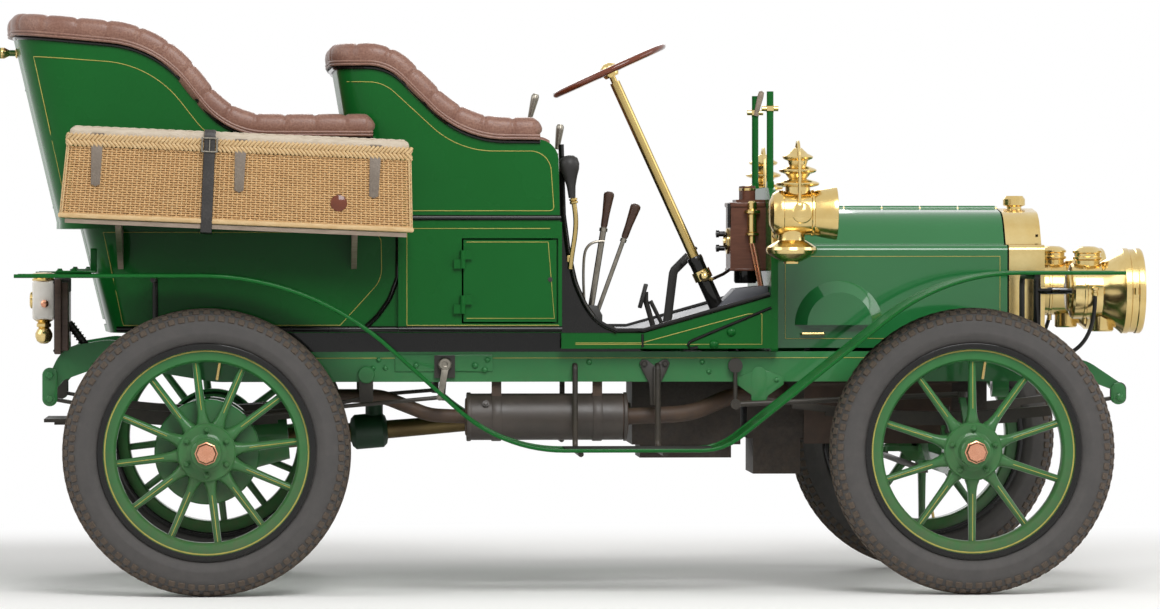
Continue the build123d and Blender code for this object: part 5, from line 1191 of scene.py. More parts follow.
REAR_TUB = LeatherTub("rear_seat", 510.0, -416.0, 0.234, 40.0, 150.0, 1066.0,
                      [(-700.0, 1617.0, 0), (-143.0, 1567.0, 320), (59.0, 1312.0, 235), (483.0, 1312.0, 0)],
                      480.0, 300.0, 1176.0, door_half_w=232.0)
FRONT_TUB = LeatherTub("front_seat", 470.0, 447.0, 0.172, 12.0, 110.0, 1066.0,
                       [(250.0, 1517.0, 0), (518.0, 1517.0, 145), (733.0, 1305.0, 300), (1008.0, 1303.0, 60),
                        (1013.0, 1066.0, 0)], 962.0, 985.0, 1196.0)
TONNEAU_BASE = TubWall("tonneau_base", 450.0, -274.0, 0.245, 40.0, 130.0, 746.0)


@dataclass
class Cushions:
    """Seat cushions: crowned, with sewn channels."""

    table: tuple = (
        # name, x range, y range, height range, replaced node
        ("front_cushion_right", (520.0, 986.0), (-440.0, -4.0), (1087.0, 1215.0), "front_upholstery"),
        ("front_cushion_left", (520.0, 986.0), (4.0, 440.0), (1087.0, 1215.0), "front_upholstery"),
        ("rear_cushion_right", (-330.0, 58.0), (-436.0, -256.0), (1067.0, 1195.0), "rear_upholstery"),
        ("rear_cushion_left", (-330.0, 58.0), (256.0, 436.0), (1067.0, 1195.0), "rear_upholstery"),
    )
    cuts: int = 31
    channels: float = 3.0
    channel_depth: float = 7.0
    crown_part: float = 0.065
    height_part: float = 0.86

    def build(self) -> None:
        """Makes each cushion from a block: crowned top, drawn-in sides, channels across."""
        for name, xs, ys, zs, node in self.table:
            shape = Shape()
            size = (xs[1] - xs[0], ys[1] - ys[0], zs[1] - zs[0])
            middle = Vector((sum(xs) / 2, sum(ys) / 2, sum(zs) / 2))
            bmesh.ops.create_cube(shape.bm, size=1.0)
            bmesh.ops.subdivide_edges(shape.bm, edges=shape.bm.edges[:], cuts=self.cuts, use_grid_fill=True)
            for vert in shape.bm.verts:
                u, v, w = (2 * c for c in vert.co)
                crown = (1 - u ** 4) * (1 - v ** 4)
                channel = abs(math.sin(math.pi * self.channels * (v + 1)))
                swell = 1 - 0.05 * (abs(u) ** 6 + abs(v) ** 6) * (w * w)
                round_off = 0.07 * (max(abs(u), abs(v)) ** 8) * w
                waist = 0.975 + 0.025 * (1 - w * w)
                vert.co = Vector((u / 2 * size[0] * swell * waist, v / 2 * size[1] * swell * waist,
                                  (w / 2 - round_off) * size[2] * self.height_part)) + middle
                if w > 0.98:
                    dip = self.channel_depth * (1 - channel) ** 2
                    vert.co.z += size[2] * self.crown_part * crown - dip * crown
            obj = shape.piece(name, "chassis", HIDE, 70)
            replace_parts(obj, node)


@dataclass
class WickerHamper:
    """A woven picnic hamper with its lid, plait, strap and tabs."""

    low_z: float = 1058.0
    pitch_deg: float = 2.45
    bottom: tuple[float, float] = (-415.0, 583.0)
    top: tuple[float, float] = (-399.0, 567.0)
    out_y: tuple[float, float] = (-702.0, -693.0)
    in_y: float = -530.0
    weave_low: float = 18.0
    weave_high: float = 205.0
    height: float = 262.0
    row_pitch: float = 6.6
    stake_pitch: float = 26.0
    end_stakes: int = 13
    side_stakes: int = 76
    weaver_r: float = 3.0
    stake_r: float = 2.4
    wave: float = 2.4
    sunk: float = 5.0
    tab_places: tuple[float, ...] = (-318.0, 88.0, 470.0)

    def place(self) -> Matrix:
        """The hamper's own tilted frame."""
        return Matrix.Translation((0, 0, self.low_z)) @ Matrix.Rotation(math.radians(self.pitch_deg), 4, "Y")

    def corners(self, z: float) -> list[Vector]:
        """The corners of a level section.

        Args:
            z: height in the hamper's own frame.

        Returns:
            Four corners, from the inner back one round the outside.
        """
        t = z / self.height
        x0 = self.bottom[0] + (self.top[0] - self.bottom[0]) * t
        x1 = self.bottom[1] + (self.top[1] - self.bottom[1]) * t
        y0 = self.out_y[0] + (self.out_y[1] - self.out_y[0]) * t
        return [Vector((x0, self.in_y, z)), Vector((x0, y0, z)), Vector((x1, y0, z)),
                Vector((x1, self.in_y, z))]

    def walls(self) -> tuple[Shape, Shape]:
        """Weavers running round the walls, over and under upright stakes."""
        rows, stakes = [], []
        count = int((self.weave_high - self.weave_low) / self.row_pitch)
        runs = [(0, 1, self.end_stakes), (1, 2, self.side_stakes), (2, 3, self.end_stakes)]
        outs = [Vector(BACK), Vector(OUT), Vector(AHEAD)]
        for row in range(count + 1):
            z = self.weave_low + row * self.row_pitch
            ring = self.corners(z)
            line, k = [], row
            for (a, b, n), out in zip(runs, outs):
                for i in range(n * 3):
                    t = (i + 0.5) / (n * 3)
                    wave = math.cos(math.pi * (t * n + k))
                    line.append(ring[a].lerp(ring[b], t) + out * (self.wave * wave - self.sunk))
                k += n
            rows.append(line)
        for (a, b, n), out in zip(runs, outs):
            for i in range(n + 1):
                foot, head = self.corners(self.weave_low - 6), self.corners(self.weave_high + 8)
                stakes.append([end[a].lerp(end[b], i / n) - out * self.sunk for end in (foot, head)])
        return rods(rows, self.weaver_r, 1), rods(stakes, self.stake_r, 1)

    def plait(self, z: float, half_h: float) -> Shape:
        """A flat plait round the lid: two rows of slanting strands that meet in a chevron.

        Args:
            z: height of its middle line.
            half_h: half its height.

        Returns:
            The strands.
        """
        frames = frames_along(spaced(self.corners(z), 12.0))
        strands = []
        for frame in frames:
            for up in (-1, 1):
                ends = ((2.0, -1.0 * up, -9.0), (-2.0, 0.5 * half_h * up, 1.0), (1.0, half_h * up, 9.0))
                strands.append([frame @ Vector(end) for end in ends])
        return rods(strands, 4.6, 1)

    def lid_weave(self) -> Shape:
        """Weavers along the lid, over and under its ribs."""
        rows = []
        for row in range(int((self.in_y - self.out_y[1] - 24) / self.row_pitch)):
            y = self.out_y[1] + 14 + row * self.row_pitch
            count = 4 * int((self.top[1] - self.top[0] - 30) / self.stake_pitch)
            step = (self.top[1] - self.top[0] - 30) / count
            waves = [self.height - 1.2 + 1.5 * math.sin(math.pi * (i / 4 + row)) for i in range(count + 1)]
            rows.append([(self.top[0] + 15 + i * step, y, z) for i, z in enumerate(waves)])
        return rods(rows, self.weaver_r, 1)

    def strap(self) -> tuple[Shape, Shape]:
        """Black strap round the hamper with a roller buckle."""
        y0, y1 = self.out_y
        line = [Vector((0, self.in_y + 1, self.height + 5)), Vector((0, y1 - 4, self.height + 5)),
                Vector((0, y1 - 12, self.height - 8)), Vector((0, y1 - 12, 200)), Vector((0, y0 - 4.5, 20)),
                Vector((0, y0 - 2.0, -24)), Vector((0, y0 + 60, -26))]
        frames = frames_along(spaced(line, 8.0), Vector(AHEAD))
        leather = skin(oval(1.6, 16, 12, 6.0), frames)
        for z in (150, 172, 128, 106):
            leather.add(lathe([(3, 0), (3, 0.6), (0, 0.8)], (0, -707.5 + (z - 100) * 0.045, z), OUT, 10))
        y = y1 - 15
        frame = rods([[(-21, y, 206), (21, y, 206), (21, y, 244), (-21, y, 244)]], 4.0, 2, closed=True)
        frame.add(rods([[(0, y - 1, 240), (0, y - 3, 205)]], 2.5, 1))
        return leather, frame

    def build(self) -> None:
        """Makes the hamper's pieces and hides the plain solids."""
        here = self.place()
        weavers, stakes = self.walls()
        wall = weavers.moved(here).piece("hamper_weavers", "chassis", WILLOW, 80)
        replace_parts(wall, "hamper")
        stakes.moved(here).piece("hamper_stakes", "chassis", STAKE_WILLOW, 80)
        # A dark block inside the walls, as painted shade between the weavers.
        inner = block((self.bottom[0] + 28, self.out_y[1] + 14, 2),
                      (self.bottom[1] - 28, self.in_y, self.weave_high), 4)
        inner.moved(here).piece("hamper_painted_shade", "chassis", SHADED_WILLOW)
        lid = block((self.top[0] + 2, self.out_y[1] + 1, self.weave_high + 8),
                    (self.top[1] - 2, self.in_y, self.height), 16, 4)
        lid.moved(here).piece("hamper_lid", "chassis", PALE_WILLOW)
        self.lid_weave().moved(here).piece("hamper_lid_weave", "chassis", PALE_WILLOW, 80)
        plait = self.plait(self.weave_high + 19, 17.0)
        plait.moved(here).piece("hamper_lid_plait", "chassis", STAKE_WILLOW, 80)
        rods([self.corners(9.0)], 7.5, 2).moved(here).piece("hamper_foot_cane", "chassis", STAKE_WILLOW)
        leather, buckle = self.strap()
        strap = leather.moved(here).piece("hamper_strap_leather", "chassis", STRAP)
        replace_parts(strap, "hamper_strap")
        buckle.moved(here).piece("hamper_buckle", "chassis", STEEL)
        tabs = Shape()
        for x in self.tab_places:
            tab = plate([(x - 13, 0, 100), (x, 0, 94), (x + 13, 0, 100), (x + 16, 0, 214), (x - 16, 0, 214)],
                        (0, -4, 0), 1.0)
            tabs.add(tab, Matrix.Translation((0, -700.5, 0)) @ Matrix.Rotation(math.radians(-1.9), 4, "X"))
            tabs.add(block((x - 16, self.out_y[1] - 2, 240), (x + 18, self.out_y[1] + 4, 246), 1))
        tabs.moved(here).piece("hamper_tabs", "chassis", TAB_LEATHER)
        toggle = lathe([(0, 7), (16, 6), (23, 3), (24, 0)], (372, -697, 76), (0, -1, 0.05), 24)
        toggle.moved(here).piece("hamper_toggle", "chassis", MAHOGANY)


@dataclass
class Headlamp:
    """A pair of acetylene headlamps on black posts."""

    x: float = 2492.0
    y: float = -385.0
    z: float = 866.0
    post: tuple[float, float] = (2410.0, -357.5)
    chimney_x: float = 2554.0
    burner_x: float = 2596.0
    nipple: Point = (2564.0, -474.0, 851.0)

    def build(self) -> None:
        """Makes the lamps' pieces and hides the plain solids."""
        here = (self.x, self.y, self.z)
        shell = lathe([(0, 0), (52, 0), (58, 3), (60, 8), (76, 12), (81, 18), (81, 44), (83, 46), (83, 52),
                       (81, 54), (81, 98), (84, 102), (92, 116), (104, 136), (116, 152), (120, 156),
                       (124, 160), (124, 176), (121, 179), (121, 196), (124, 199), (124, 212), (120, 217),
                       (112, 218), (112, 207), (100, 160), (70, 110), (0, 100)], here, AHEAD, 72)
        shell.add(lathe([(36, 0), (36, 30), (43, 34), (43, 40), (38, 42), (38, 50), (43, 53), (43, 58),
                         (34, 66), (22, 71), (0, 72)], (self.chimney_x, self.y, 924), UP, 40))
        shell.add(lathe([(30, 0), (34, 4), (34, 46), (26, 52), (0, 54)],
                        (self.burner_x, self.y, 748), UP, 32))
        shell.add(lathe([(17, 0), (17, 40), (0, 40)], (self.burner_x, self.y, 786), UP, 24))
        shell.add(lathe([(7, 0), (7, 30), (10, 32), (10, 40), (0, 42)], (2546, self.y, 770), UP, 16))
        nipple_x, nipple_y, nipple_z = self.nipple
        shell.add(rods([[(nipple_x, -440, nipple_z + 8), (nipple_x, nipple_y, nipple_z + 8)]], 6, 2))
        shell.add(lathe([(7, 0), (9, 3), (9, 9), (7, 11), (7, 16), (11, 18), (11, 24), (4, 27), (0, 28)],
                        self.nipple, UP, 20))
        for side in (-126, 126):
            shell.add(lathe([(6, -10), (6, 10), (0, 10)], (2680, self.y + side, self.z), UP, 12))
        lamp = shell.both().piece("headlamp_shells", "chassis", BRASS, 30)
        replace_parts(lamp, "headlamps")
        bowl = lathe([(0, 108), (40, 112), (72, 124), (100, 166), (111, 200)], here, AHEAD, 48).both()
        bowl.piece("headlamp_reflectors", "chassis", SILVER, 60)
        lens = lathe([(0, 213), (60, 211.5), (112, 207), (112, 204), (0, 209)], here, AHEAD, 48).both()
        lens.piece("headlamp_glasses", "chassis", CLEAR_GLASS, 60)
        x, y = self.post
        post = rods([[(x, y, 690), (x, y, 800), (x, y, 914)]], 11, 3)
        post.add(lathe([(18, 0), (18, 8), (12, 14), (0, 14)], (x, y, 690), UP, 20))
        post.add(lathe([(14, 0), (15, 4), (14, 9), (0, 11)], (x, y, 912), UP, 16))
        post.add(rods([[(x, y, self.z), (2440, -372, self.z), (2500, self.y, self.z)]], 10, 2))
        post.add(rods([[(2452, -376, self.z), (2470, -450, self.z), (2500, -468, self.z)]], 7, 2))
        post.both().piece("headlamp_posts", "chassis", BLACK)


@dataclass
class SideLamp:
    """A pair of oil side lamps with three-tier chimneys."""

    y: float = -600.0
    z: float = 1091.0
    back_x: float = 1607.0

    def build(self) -> None:
        """Makes the lamps' pieces and hides the plain solids."""
        here = (self.back_x, self.y, self.z)
        shell = lathe([(0, 0), (34, 0), (40, 3), (56, 10), (63, 22), (66, 32), (66, 38), (64, 40), (64, 118),
                       (67, 121), (67, 126), (64, 128), (70, 150), (75, 178), (77, 186), (77, 192), (72, 194),
                       (66, 190), (52, 120), (0, 110)], here, AHEAD, 64)
        stem = (self.back_x + 82, self.y, self.z)
        tiers = [(36, 40), (36, 74)]
        for foot, reach in ((74, 62), (112, 54), (150, 44)):
            tiers += [(reach * 0.66, foot), (reach - 3, foot + 5), (reach, foot + 9), (reach, foot + 12),
                      (reach - 4, foot + 15), (reach * 0.62, foot + 21), (25, foot + 24)]
        shell.add(lathe(tiers + [(20, 178), (12, 186), (0, 189)], stem, UP, 48))
        shell.add(lathe([(40, 40), (38, 62), (40, 78), (58, 88), (72, 98), (74, 106), (70, 116), (50, 128),
                         (30, 138), (22, 140), (22, 145), (0, 146)],
                        (self.back_x + 64, self.y, self.z), (0, 0, -1), 48))
        for y in (-64, 64):
            bail = [(0, y, 18), (0, y * 1.02, 60), (0, y * 0.98, 140), (0, y * 0.62, 196), (0, y * 0.2, 205),
                    (0, 0, 205)]
            shell.add(rods([[(stem[0] + a, self.y + b, self.z + c) for a, b, c in bail]],
                           4.5, 2, smooth=True))
            shell.add(lathe([(13, 0), (13, 4), (8, 7), (0, 8)],
                            (stem[0], self.y + y * 0.97, self.z + 18), (0, math.copysign(1, y), 0), 20))
        lamp = shell.both().piece("side_lamp_shells", "chassis", BRASS, 30)
        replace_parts(lamp, "side_lamps")
        lens = lathe([(0, 188), (40, 187), (66, 184), (66, 181), (0, 184)], here, AHEAD, 40).both()
        lens.piece("side_lamp_glasses", "chassis", CLEAR_GLASS, 60)
        side = lathe([(0, 6), (26, 5), (30, 0)], (self.back_x + 90, self.y - 62, self.z), OUT, 32).both()
        side.piece("side_lamp_jewels", "chassis", BRASS, 60)
        arm = rods([[(1637, -428, 1025), (1637, -490, 1025), (1640, -530, 1060), (1660, -545, 1091)]], 9, 2)
        arm.add(block((1627, -434, 1000), (1647, -424, 1050), 2))
        arm.both().piece("side_lamp_brackets", "chassis", BRASS)


@dataclass
class TailLamp:
    """Oil tail lamp, its ruby glass and the blank plate it lights."""

    x: float = -474.0
    y: float = -365.0
    low_z: float = 714.0
    beads: int = 10
    bead_ring: tuple[float, float] = (27.5, 907.5)
    ruby_z: float = 840.0
    plate_screws: tuple = ((-470.0, 696.0), (-470.0, 892.0), (-260.0, 696.0), (-260.0, 892.0))

    def build(self) -> None:
        """Makes the tail lamp's pieces and hides the plain solid."""
        base = (self.x, self.y, self.low_z)
        brass = lathe([(0, 0), (10, 1), (20, 8), (25, 20), (25, 30), (19, 42), (15, 46), (21, 50), (21, 58),
                       (17, 62), (26, 68), (30, 70), (0, 71)], base, UP, 40)
        brass.add(lathe([(30, 181), (34, 183), (34, 188), (28, 190), (28, 197), (33, 199), (33, 203),
                         (20, 206), (0, 207)], base, UP, 40))
        ring_r, ring_z = self.bead_ring
        for turn in range(self.beads):
            angle = 2 * math.pi * turn / self.beads
            c, s = math.cos(angle), math.sin(angle)
            bead = (self.x + ring_r * c, self.y + ring_r * s, ring_z)
            brass.add(lathe([(4.5, 0), (4.5, 1.4), (0, 1.4)], bead, (c, s, 0), 10))
        eye = (self.x - 31, self.y, self.ruby_z)
        brass.add(lathe([(24, 0), (24, 6), (19, 9), (19, 2)], eye, BACK, 28))
        lamp = brass.piece("tail_lamp_brass", "chassis", BRASS, 30)
        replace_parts(lamp, "tail_lamp")
        drum = block((self.x - 32, self.y - 30, 784), (self.x + 32, self.y + 30, 897), 7, 3)
        drum.piece("tail_lamp_drum", "chassis", WHITE_ENAMEL)
        knob = lathe([(7, 0), (11, 3), (11, 9), (7, 12), (0, 13)], (self.x + 4, self.y - 29, 830), OUT, 24)
        knob.piece("tail_lamp_knob", "chassis", COPPER)
        ruby = lathe([(0, 9), (11, 8), (19, 4), (19, 0)], eye, BACK, 28)
        ruby.piece("tail_lamp_ruby", "chassis", RUBY_GLASS, 60)
        board = block((-438, -480, 686), (-420, -250, 902), 2)
        board.add(block((-420, -470, 696), (-400, -260, 892), 3))
        board.piece("plate_board", "chassis", BOARD_WOOD)
        plain = block((-440, -478, 688), (-437, -252, 900), 1)
        for y, z in self.plate_screws:
            plain.add(rivet((-440, y, z), BACK, 4))
        plain.piece("blank_plate", "chassis", BLANK_PLATE)
        arm = rods([[(self.x + 20, self.y, 830), (-437, self.y, 830)]], 10, 2)
        arm.add(block((-443, self.y - 26, 864), (-396, self.y + 26, 904), 3))
        strut = [Vector((-402, -357.5, 775)), Vector((-350, -357.5, 705))]
        arm.add(rods([strut], 11, 3))
        for step in range(7):
            foot = strut[0].lerp(strut[1], 0.1 + step * 0.12)
            arm.add(lathe([(13, 0), (14, 2), (13, 4), (0, 4)], tuple(foot), tuple(strut[1] - strut[0]), 20))
        arm.piece("tail_lamp_bracket", "chassis", IRON)


@dataclass
class SteeringGear:
    """Mahogany rim on a brass spider, and the lower end of the column."""

    centre: Point = (1165.0, -300.0, 1507.0)
    rake_deg: float = 24.5
    rim_r: float = 169.0
    grip_half: tuple[float, float] = (10.8, 9.6)
    ball: Point = (1441.0, -328.0, 908.0)
    ball_r: float = 16.0
    arm_rings: tuple = (
        # radius, height, half width and half depth of a spoke
        (14, -2, 10, 6), (60, -5, 8, 4.5), (130, -6, 7, 4), (156, -5, 9, 4), (166, -6, 10, 3.2),
    )

    def build(self) -> None:
        """Makes the wheel's pieces and hides the plain solid."""
        here = Matrix.Translation(self.centre) @ Matrix.Rotation(math.radians(-self.rake_deg), 4, "Y")
        half_w, half_h = self.grip_half
        turns = [2 * math.pi * i / 16 for i in range(17)]
        grip = [(self.rim_r + half_w * math.cos(t), half_h * math.sin(t)) for t in turns]
        rim = lathe(grip, ORIGIN, steps=96).moved(here).piece("steering_rim", "steering_wheel", MAHOGANY, 60)
        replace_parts(rim, "steering_wheel")
        spider = lathe([(9.6, -20), (20, -20), (24, -12), (24, 12), (20, 16), (12, 22), (0, 24)],
                       ORIGIN, steps=40)
        quarter = Matrix.Rotation(math.radians(-90), 4, "X")
        arm = [Matrix.Translation((0, r, h)) @ quarter @ Matrix.Diagonal((w, d, 1, 1))
               for r, h, w, d in self.arm_rings]
        spoke = skin(oval(1, 1, 12), arm).moved(Matrix.Rotation(math.radians(45), 4, "Z"))
        spoke.around(ORIGIN, UP, 4)
        spider.add(spoke).moved(here).piece("steering_spider", "steering_wheel", BRASS, 45)
        self.column()

    def column(self) -> None:
        """The black sleeve on the column, with the brass ball and rod of the spark control."""
        rake = math.radians(self.rake_deg)
        down = (math.sin(rake), 0, -math.cos(rake))
        sleeve = lathe([(0, 596), (21, 596), (23, 600), (23, 612), (21.6, 616), (21.6, 888), (25, 890),
                        (25, 900), (0, 902)], self.centre, down, 32)
        sleeve.add(rods([[(1462, -322, 899), (1500, -262, 914), (1526, -228, 930)]], 5, 2))
        sleeve.piece("column_sleeve", "chassis", BLACK)
        turns = [math.pi * i / 12 for i in range(13)]
        ball = lathe([(self.ball_r * math.sin(t), -self.ball_r * math.cos(t)) for t in turns],
                     self.ball, OUT, 24)
        ball.add(lathe([(0, 640), (27, 640), (27, 668), (0, 668)], self.centre, down, 32))
        ball.add(rods([[self.ball, (1464, -322, 898)]], 6, 2))
        ball.piece("column_ball", "chassis", BRASS, 30)


@dataclass
class BodyLines:
    """Gold lines, black mouldings and handles on the coachwork."""

    seat_face: float = -470.4
    floor_face: float = -432.4
    rail_face: float = -380.4
    bonnet_face: float = 290.0
    cheek: tuple = (
        # x, z along the front edge of the seat's black cheek
        (1018, 1290), (1024, 1088), (1039, 977), (1059, 887), (1088, 824), (1123, 775), (1180, 750),
    )
    cheek_bends: tuple[int, ...] = (0, 0, 0, 200, 160, 120, 0)
    wing_path: tuple = (
        # x, z and bend radius along the wings' upper face
        (2610.0, 920.0, 0), (2098.0, 920.0, 600), (1464.0, 417.0, 172), (840.0, 417.0, 450),
        (291.0, 912.0, 800), (-540.0, 912.0, 0),
    )
    wing_edges: tuple[float, float] = (-769.5, -545.5)
    mat_ribs: int = 14
    door_knob: Point = (-560.0, -150.0, 1560.0)

    def line(self, corners: list[Point], y: float, radius: float = GOLD_R) -> Shape:
        """A line drawn on an upright panel of the right side, and its twin on the left."""
        return rods([[(x, y, z) for x, z in rounded_line(corners, 8.0)]], radius, 1).both()

    def gold(self) -> None:
        """All the gold lining."""
        lines = Shape()
        seat = self.seat_face
        lines.add(REAR_TUB.drawn([(-498, 1540, 0), (-160, 1516, 300), (35, 1268, 225), (470, 1272, 0)]))
        lines.add(REAR_TUB.drawn([(-498, 1540, 0), (-400, 1090, 0)]))
        lines.add(TONNEAU_BASE.drawn([(-300, 1036, 0), (498, 1036, 30), (500, 900, 80), (380, 768, 0)]))
        lines.add(TONNEAU_BASE.drawn([(-300, 1036, 0), (-244, 768, 0), (380, 768, 0)]))
        lines.add(FRONT_TUB.drawn([(400, 1470, 0), (505, 1468, 110), (720, 1270, 260), (900, 1270, 0)]))
        lines.add(self.line([(900, 1270, 0), (984, 1270, 60), (996, 1098, 10), (580, 1098, 0)], seat))
        lines.add(self.line([(985, 1047, 0), (572, 1047, 0), (572, 768, 0)], seat))
        lines.add(self.line([(572, 768, 0), (1010, 768, 0)], seat))
        lines.add(self.line([(60, 672, 0), (2420, 672, 0)], self.rail_face, 1.2))
        lines.add(self.line([(1060, 716, 0), (1250, 716, 0), (1560, 800, 0), (1600, 800, 0), (1600, 712, 0),
                             (1060, 712, 0)], self.floor_face))
        lines.piece("gold_lines", "chassis", GOLD_LINE, 80)

    def mouldings(self) -> None:
        """Black beads that cover the panel joints."""
        beads = Shape()
        beads.add(rods([[(556, -470, 1078), (1016, -470, 1078)]], 8, 3).both())
        beads.add(self.line([(547, 1040, 0), (546, 907, 0), (523, 844, 120), (488, 795, 120), (455, 764, 0)],
                            -451, 8))
        beads.add(rods([[(-262, -452, 757), (548, -452, 757)]], 9, 3).both())
        beads.add(rods([[(548, -471, 757), (1019, -471, 757)]], 9, 3).both())
        front = [(x, z, bend) for (x, z), bend in zip(self.cheek, self.cheek_bends)]
        beads.add(self.line(front, -434, 9))
        beads.add(self.line([(1180, 752, 0), (1258, 752, 0), (1623, 856, 0)], -430, 8))
        beads.add(self.line([(1627, 818, 0), (1400, 724, 60), (1376, 710, 10), (1392, 700, 8),
                             (1414, 704, 0)], -432, 5))
        beads.add(self.line([(1254, 742, 0), (1254, 704, 0)], -432, 4))
        beads.piece("black_mouldings", "chassis", BLACK, 60)
        cheek = [(1012, 1288), *self.cheek, (1180, 746), (1012, 746)]
        plate([(x, -434, z) for x, z in cheek], (0, 6, 0)).both().piece("seat_cheeks", "chassis", BLACK)
        studs = Shape()
        for x, z in ((1511, 748), (1461, 712)):
            studs.add(rivet((x, -432, z), OUT, 14))
        studs.both().piece("panel_studs", "chassis", GREEN)

    def door(self) -> None:
        """Handle of the rear door and the irons that carry the wings' tails."""
        handle = lathe([(15, 0), (15, 4), (9, 7), (9, 26)], self.door_knob, BACK, 24)
        handle.add(lathe([(9, 24), (16.4, 38), (16.4, 48), (12, 51.6), (0, 52)], self.door_knob, BACK, 24))
        handle.piece("rear_door_handle", "rear_door", BRASS)
        irons = block((-432, -562, 920), (-318, -448, 926), 2)
        irons.add(block((-336, -472, 920), (-318, -448, 990), 2))
        for x, y in ((-420, -552), (-380, -552)):
            irons.add(bolt((x, y, 926), UP, 7, 5))
        irons.both().piece("wing_tail_irons", "chassis", GREEN)

    def locker(self) -> None:
        """Lock and gold line on the locker door."""
        lock = lathe([(7, 0), (7, 2), (0, 2.5)], (985, -470, 900), OUT, 20)
        lock.piece("locker_lock", "locker_door", IRON)
        border = [(744, 1008), (979, 1008), (997, 788), (744, 788)]
        gold = rods([[(x, self.seat_face, z) for x, z in border]], GOLD_R, 1)
        gold.piece("locker_door_lines", "locker_door", GOLD_LINE, 80)

    def bonnet(self) -> None:
        """Lifting handles and gold lines on the bonnet halves."""
        for side, body in ((RIGHT, "bonnet_right"), (LEFT, "bonnet_left")):
            shape = Shape()
            for x in (1760, 2230):
                near, far = side * self.bonnet_face, side * (self.bonnet_face + 16)
                loop = [(x - 34, near, 740), (x - 30, far, 740), (x + 30, far, 740), (x + 34, near, 740)]
                shape.add(rods([loop], 4, 2))
            shape.piece(f"{body}_handles", body, BRASS)
            border = [(1680, 726), (2310, 726), (2310, 966), (1680, 966)]
            gold = rods([[(x, side * (self.bonnet_face + 0.4), z) for x, z in border]],
                        GOLD_R, 1, closed=True)
            gold.piece(f"{body}_lines", body, GOLD_LINE, 80)

    def wings(self) -> None:
        """Rolled wire edges on the wings, and rubber on the steps."""
        shape = Shape()
        for y in self.wing_edges:
            shape.add(rods([[(x, y, z) for x, z in rounded_line(list(self.wing_path), 24.0)]], 5.4, 2))
        shape.both().piece("wing_beads", "chassis", GREEN)
        mat = Shape()
        for i in range(self.mat_ribs):
            y = -752 + i * 14.5
            mat.add(block((1016, y, 419), (1460, y + 8, 423), 1.2, 1))
        mat.both().piece("step_mats", "chassis", HORN_RUBBER)

    def build(self) -> None:
        """Makes every line, bead and handle."""
        self.gold()
        self.mouldings()
        self.locker()
        self.door()
        self.bonnet()
        self.wings()


@dataclass
class DashFittings:
    """Coil box trim, oiler, toe board covers and windscreen clamps."""

    clamp: tuple[float, float] = (1637.0, 1398.0)
    clamp_ys: tuple[float, float] = (-270.0, 270.0)
    cup_ys: tuple[float, ...] = (-205.0, -155.0, -105.0)
    coil_y: float = -170.0
    terminal_zs: tuple[float, float] = (990.0, 1032.0)

    def brass(self) -> Shape:
        """Oil cups, switch, oiler and clamps."""
        shape = Shape()
        for y in self.cup_ys:
            shape.add(lathe([(20, 0), (20, 6), (16, 9), (16, 34), (21, 37), (21, 44), (10, 49), (0, 50)],
                            (1579, y, 1122), UP, 28))
        shape.add(lathe([(38, 0), (38, 6), (30, 9), (14, 11), (14, 16), (0, 17)],
                        (1523, self.coil_y, 1010), BACK, 40))
        shape.add(lathe([(10, 0), (10, 20), (20, 24), (20, 30), (14, 34), (14, 84), (24, 88), (24, 96),
                         (14, 100), (14, 118), (9, 124), (0, 125)], (1586, -254, 1004), UP, 28))
        x, z = self.clamp
        for y in self.clamp_ys:
            shape.add(lathe([(8, -24), (8, 24), (0, 24)], (x, y, z), AHEAD, 16))
            shape.add(lathe([(14, -10), (14, 10), (0, 10)], (x, y, z), AHEAD, 6))
        return shape

    def build(self) -> None:
        """Makes the fittings."""
        self.brass().piece("dash_brass", "chassis", BRASS, 30)
        pipes = [[(1582, -254, 1006), (1590, -256, 960), (1606, -258, 890), (1614, -258, 842)],
                 [(1591, -254, 1006), (1600, -256, 960), (1614, -260, 890), (1620, -260, 846)]]
        rods(pipes, 4.5, 2, smooth=True).piece("oil_pipes", "chassis", COPPER)
        lid = block((1519, -245, 1110), (1627, -65, 1124), 4)
        lid.add(block((1520, -244, 923), (1627, -66, 931), 3))
        lid.piece("coil_box_lid", "chassis", COIL_WOOD)
        black = Shape()
        for z in self.terminal_zs:
            black.add(lathe([(8, 0), (8, 16), (11, 18), (11, 26), (0, 28)], (1512, self.coil_y, z), BACK, 20))
        black.add(lathe([(0, 0), (30, 0), (34, 6), (34, 36), (0, 36)], (1572, -176, 887), UP, 32))
        black.add(block((1514, -246, 1050), (1524, -232, 1122), 2))
        black.piece("coil_box_terminals", "chassis", BLACK)
        cover = plate([(1466, -350, 806), (1528, -350, 872), (1600, -350, 880), (1626, -350, 880),
                       (1626, -350, 848)], (0, 150, 0), 3)
        mat = plate([(1194, -419, 746), (1255, -419, 746), (1626, -419, 848), (1626, -419, 852),
                     (1254, -419, 750), (1194, -419, 750)], (0, 838, 0))
        cover.add(mat).piece("toe_board_mat", "chassis", FLOOR_MAT)
        handle = lathe([(6, 0), (7, 12), (9.5, 60), (8, 74), (0, 78)], (1638, 258, 1388), (0.24, 0, 1), 20)
        handle.piece("windscreen_handle", "chassis", SHELF_WOOD)


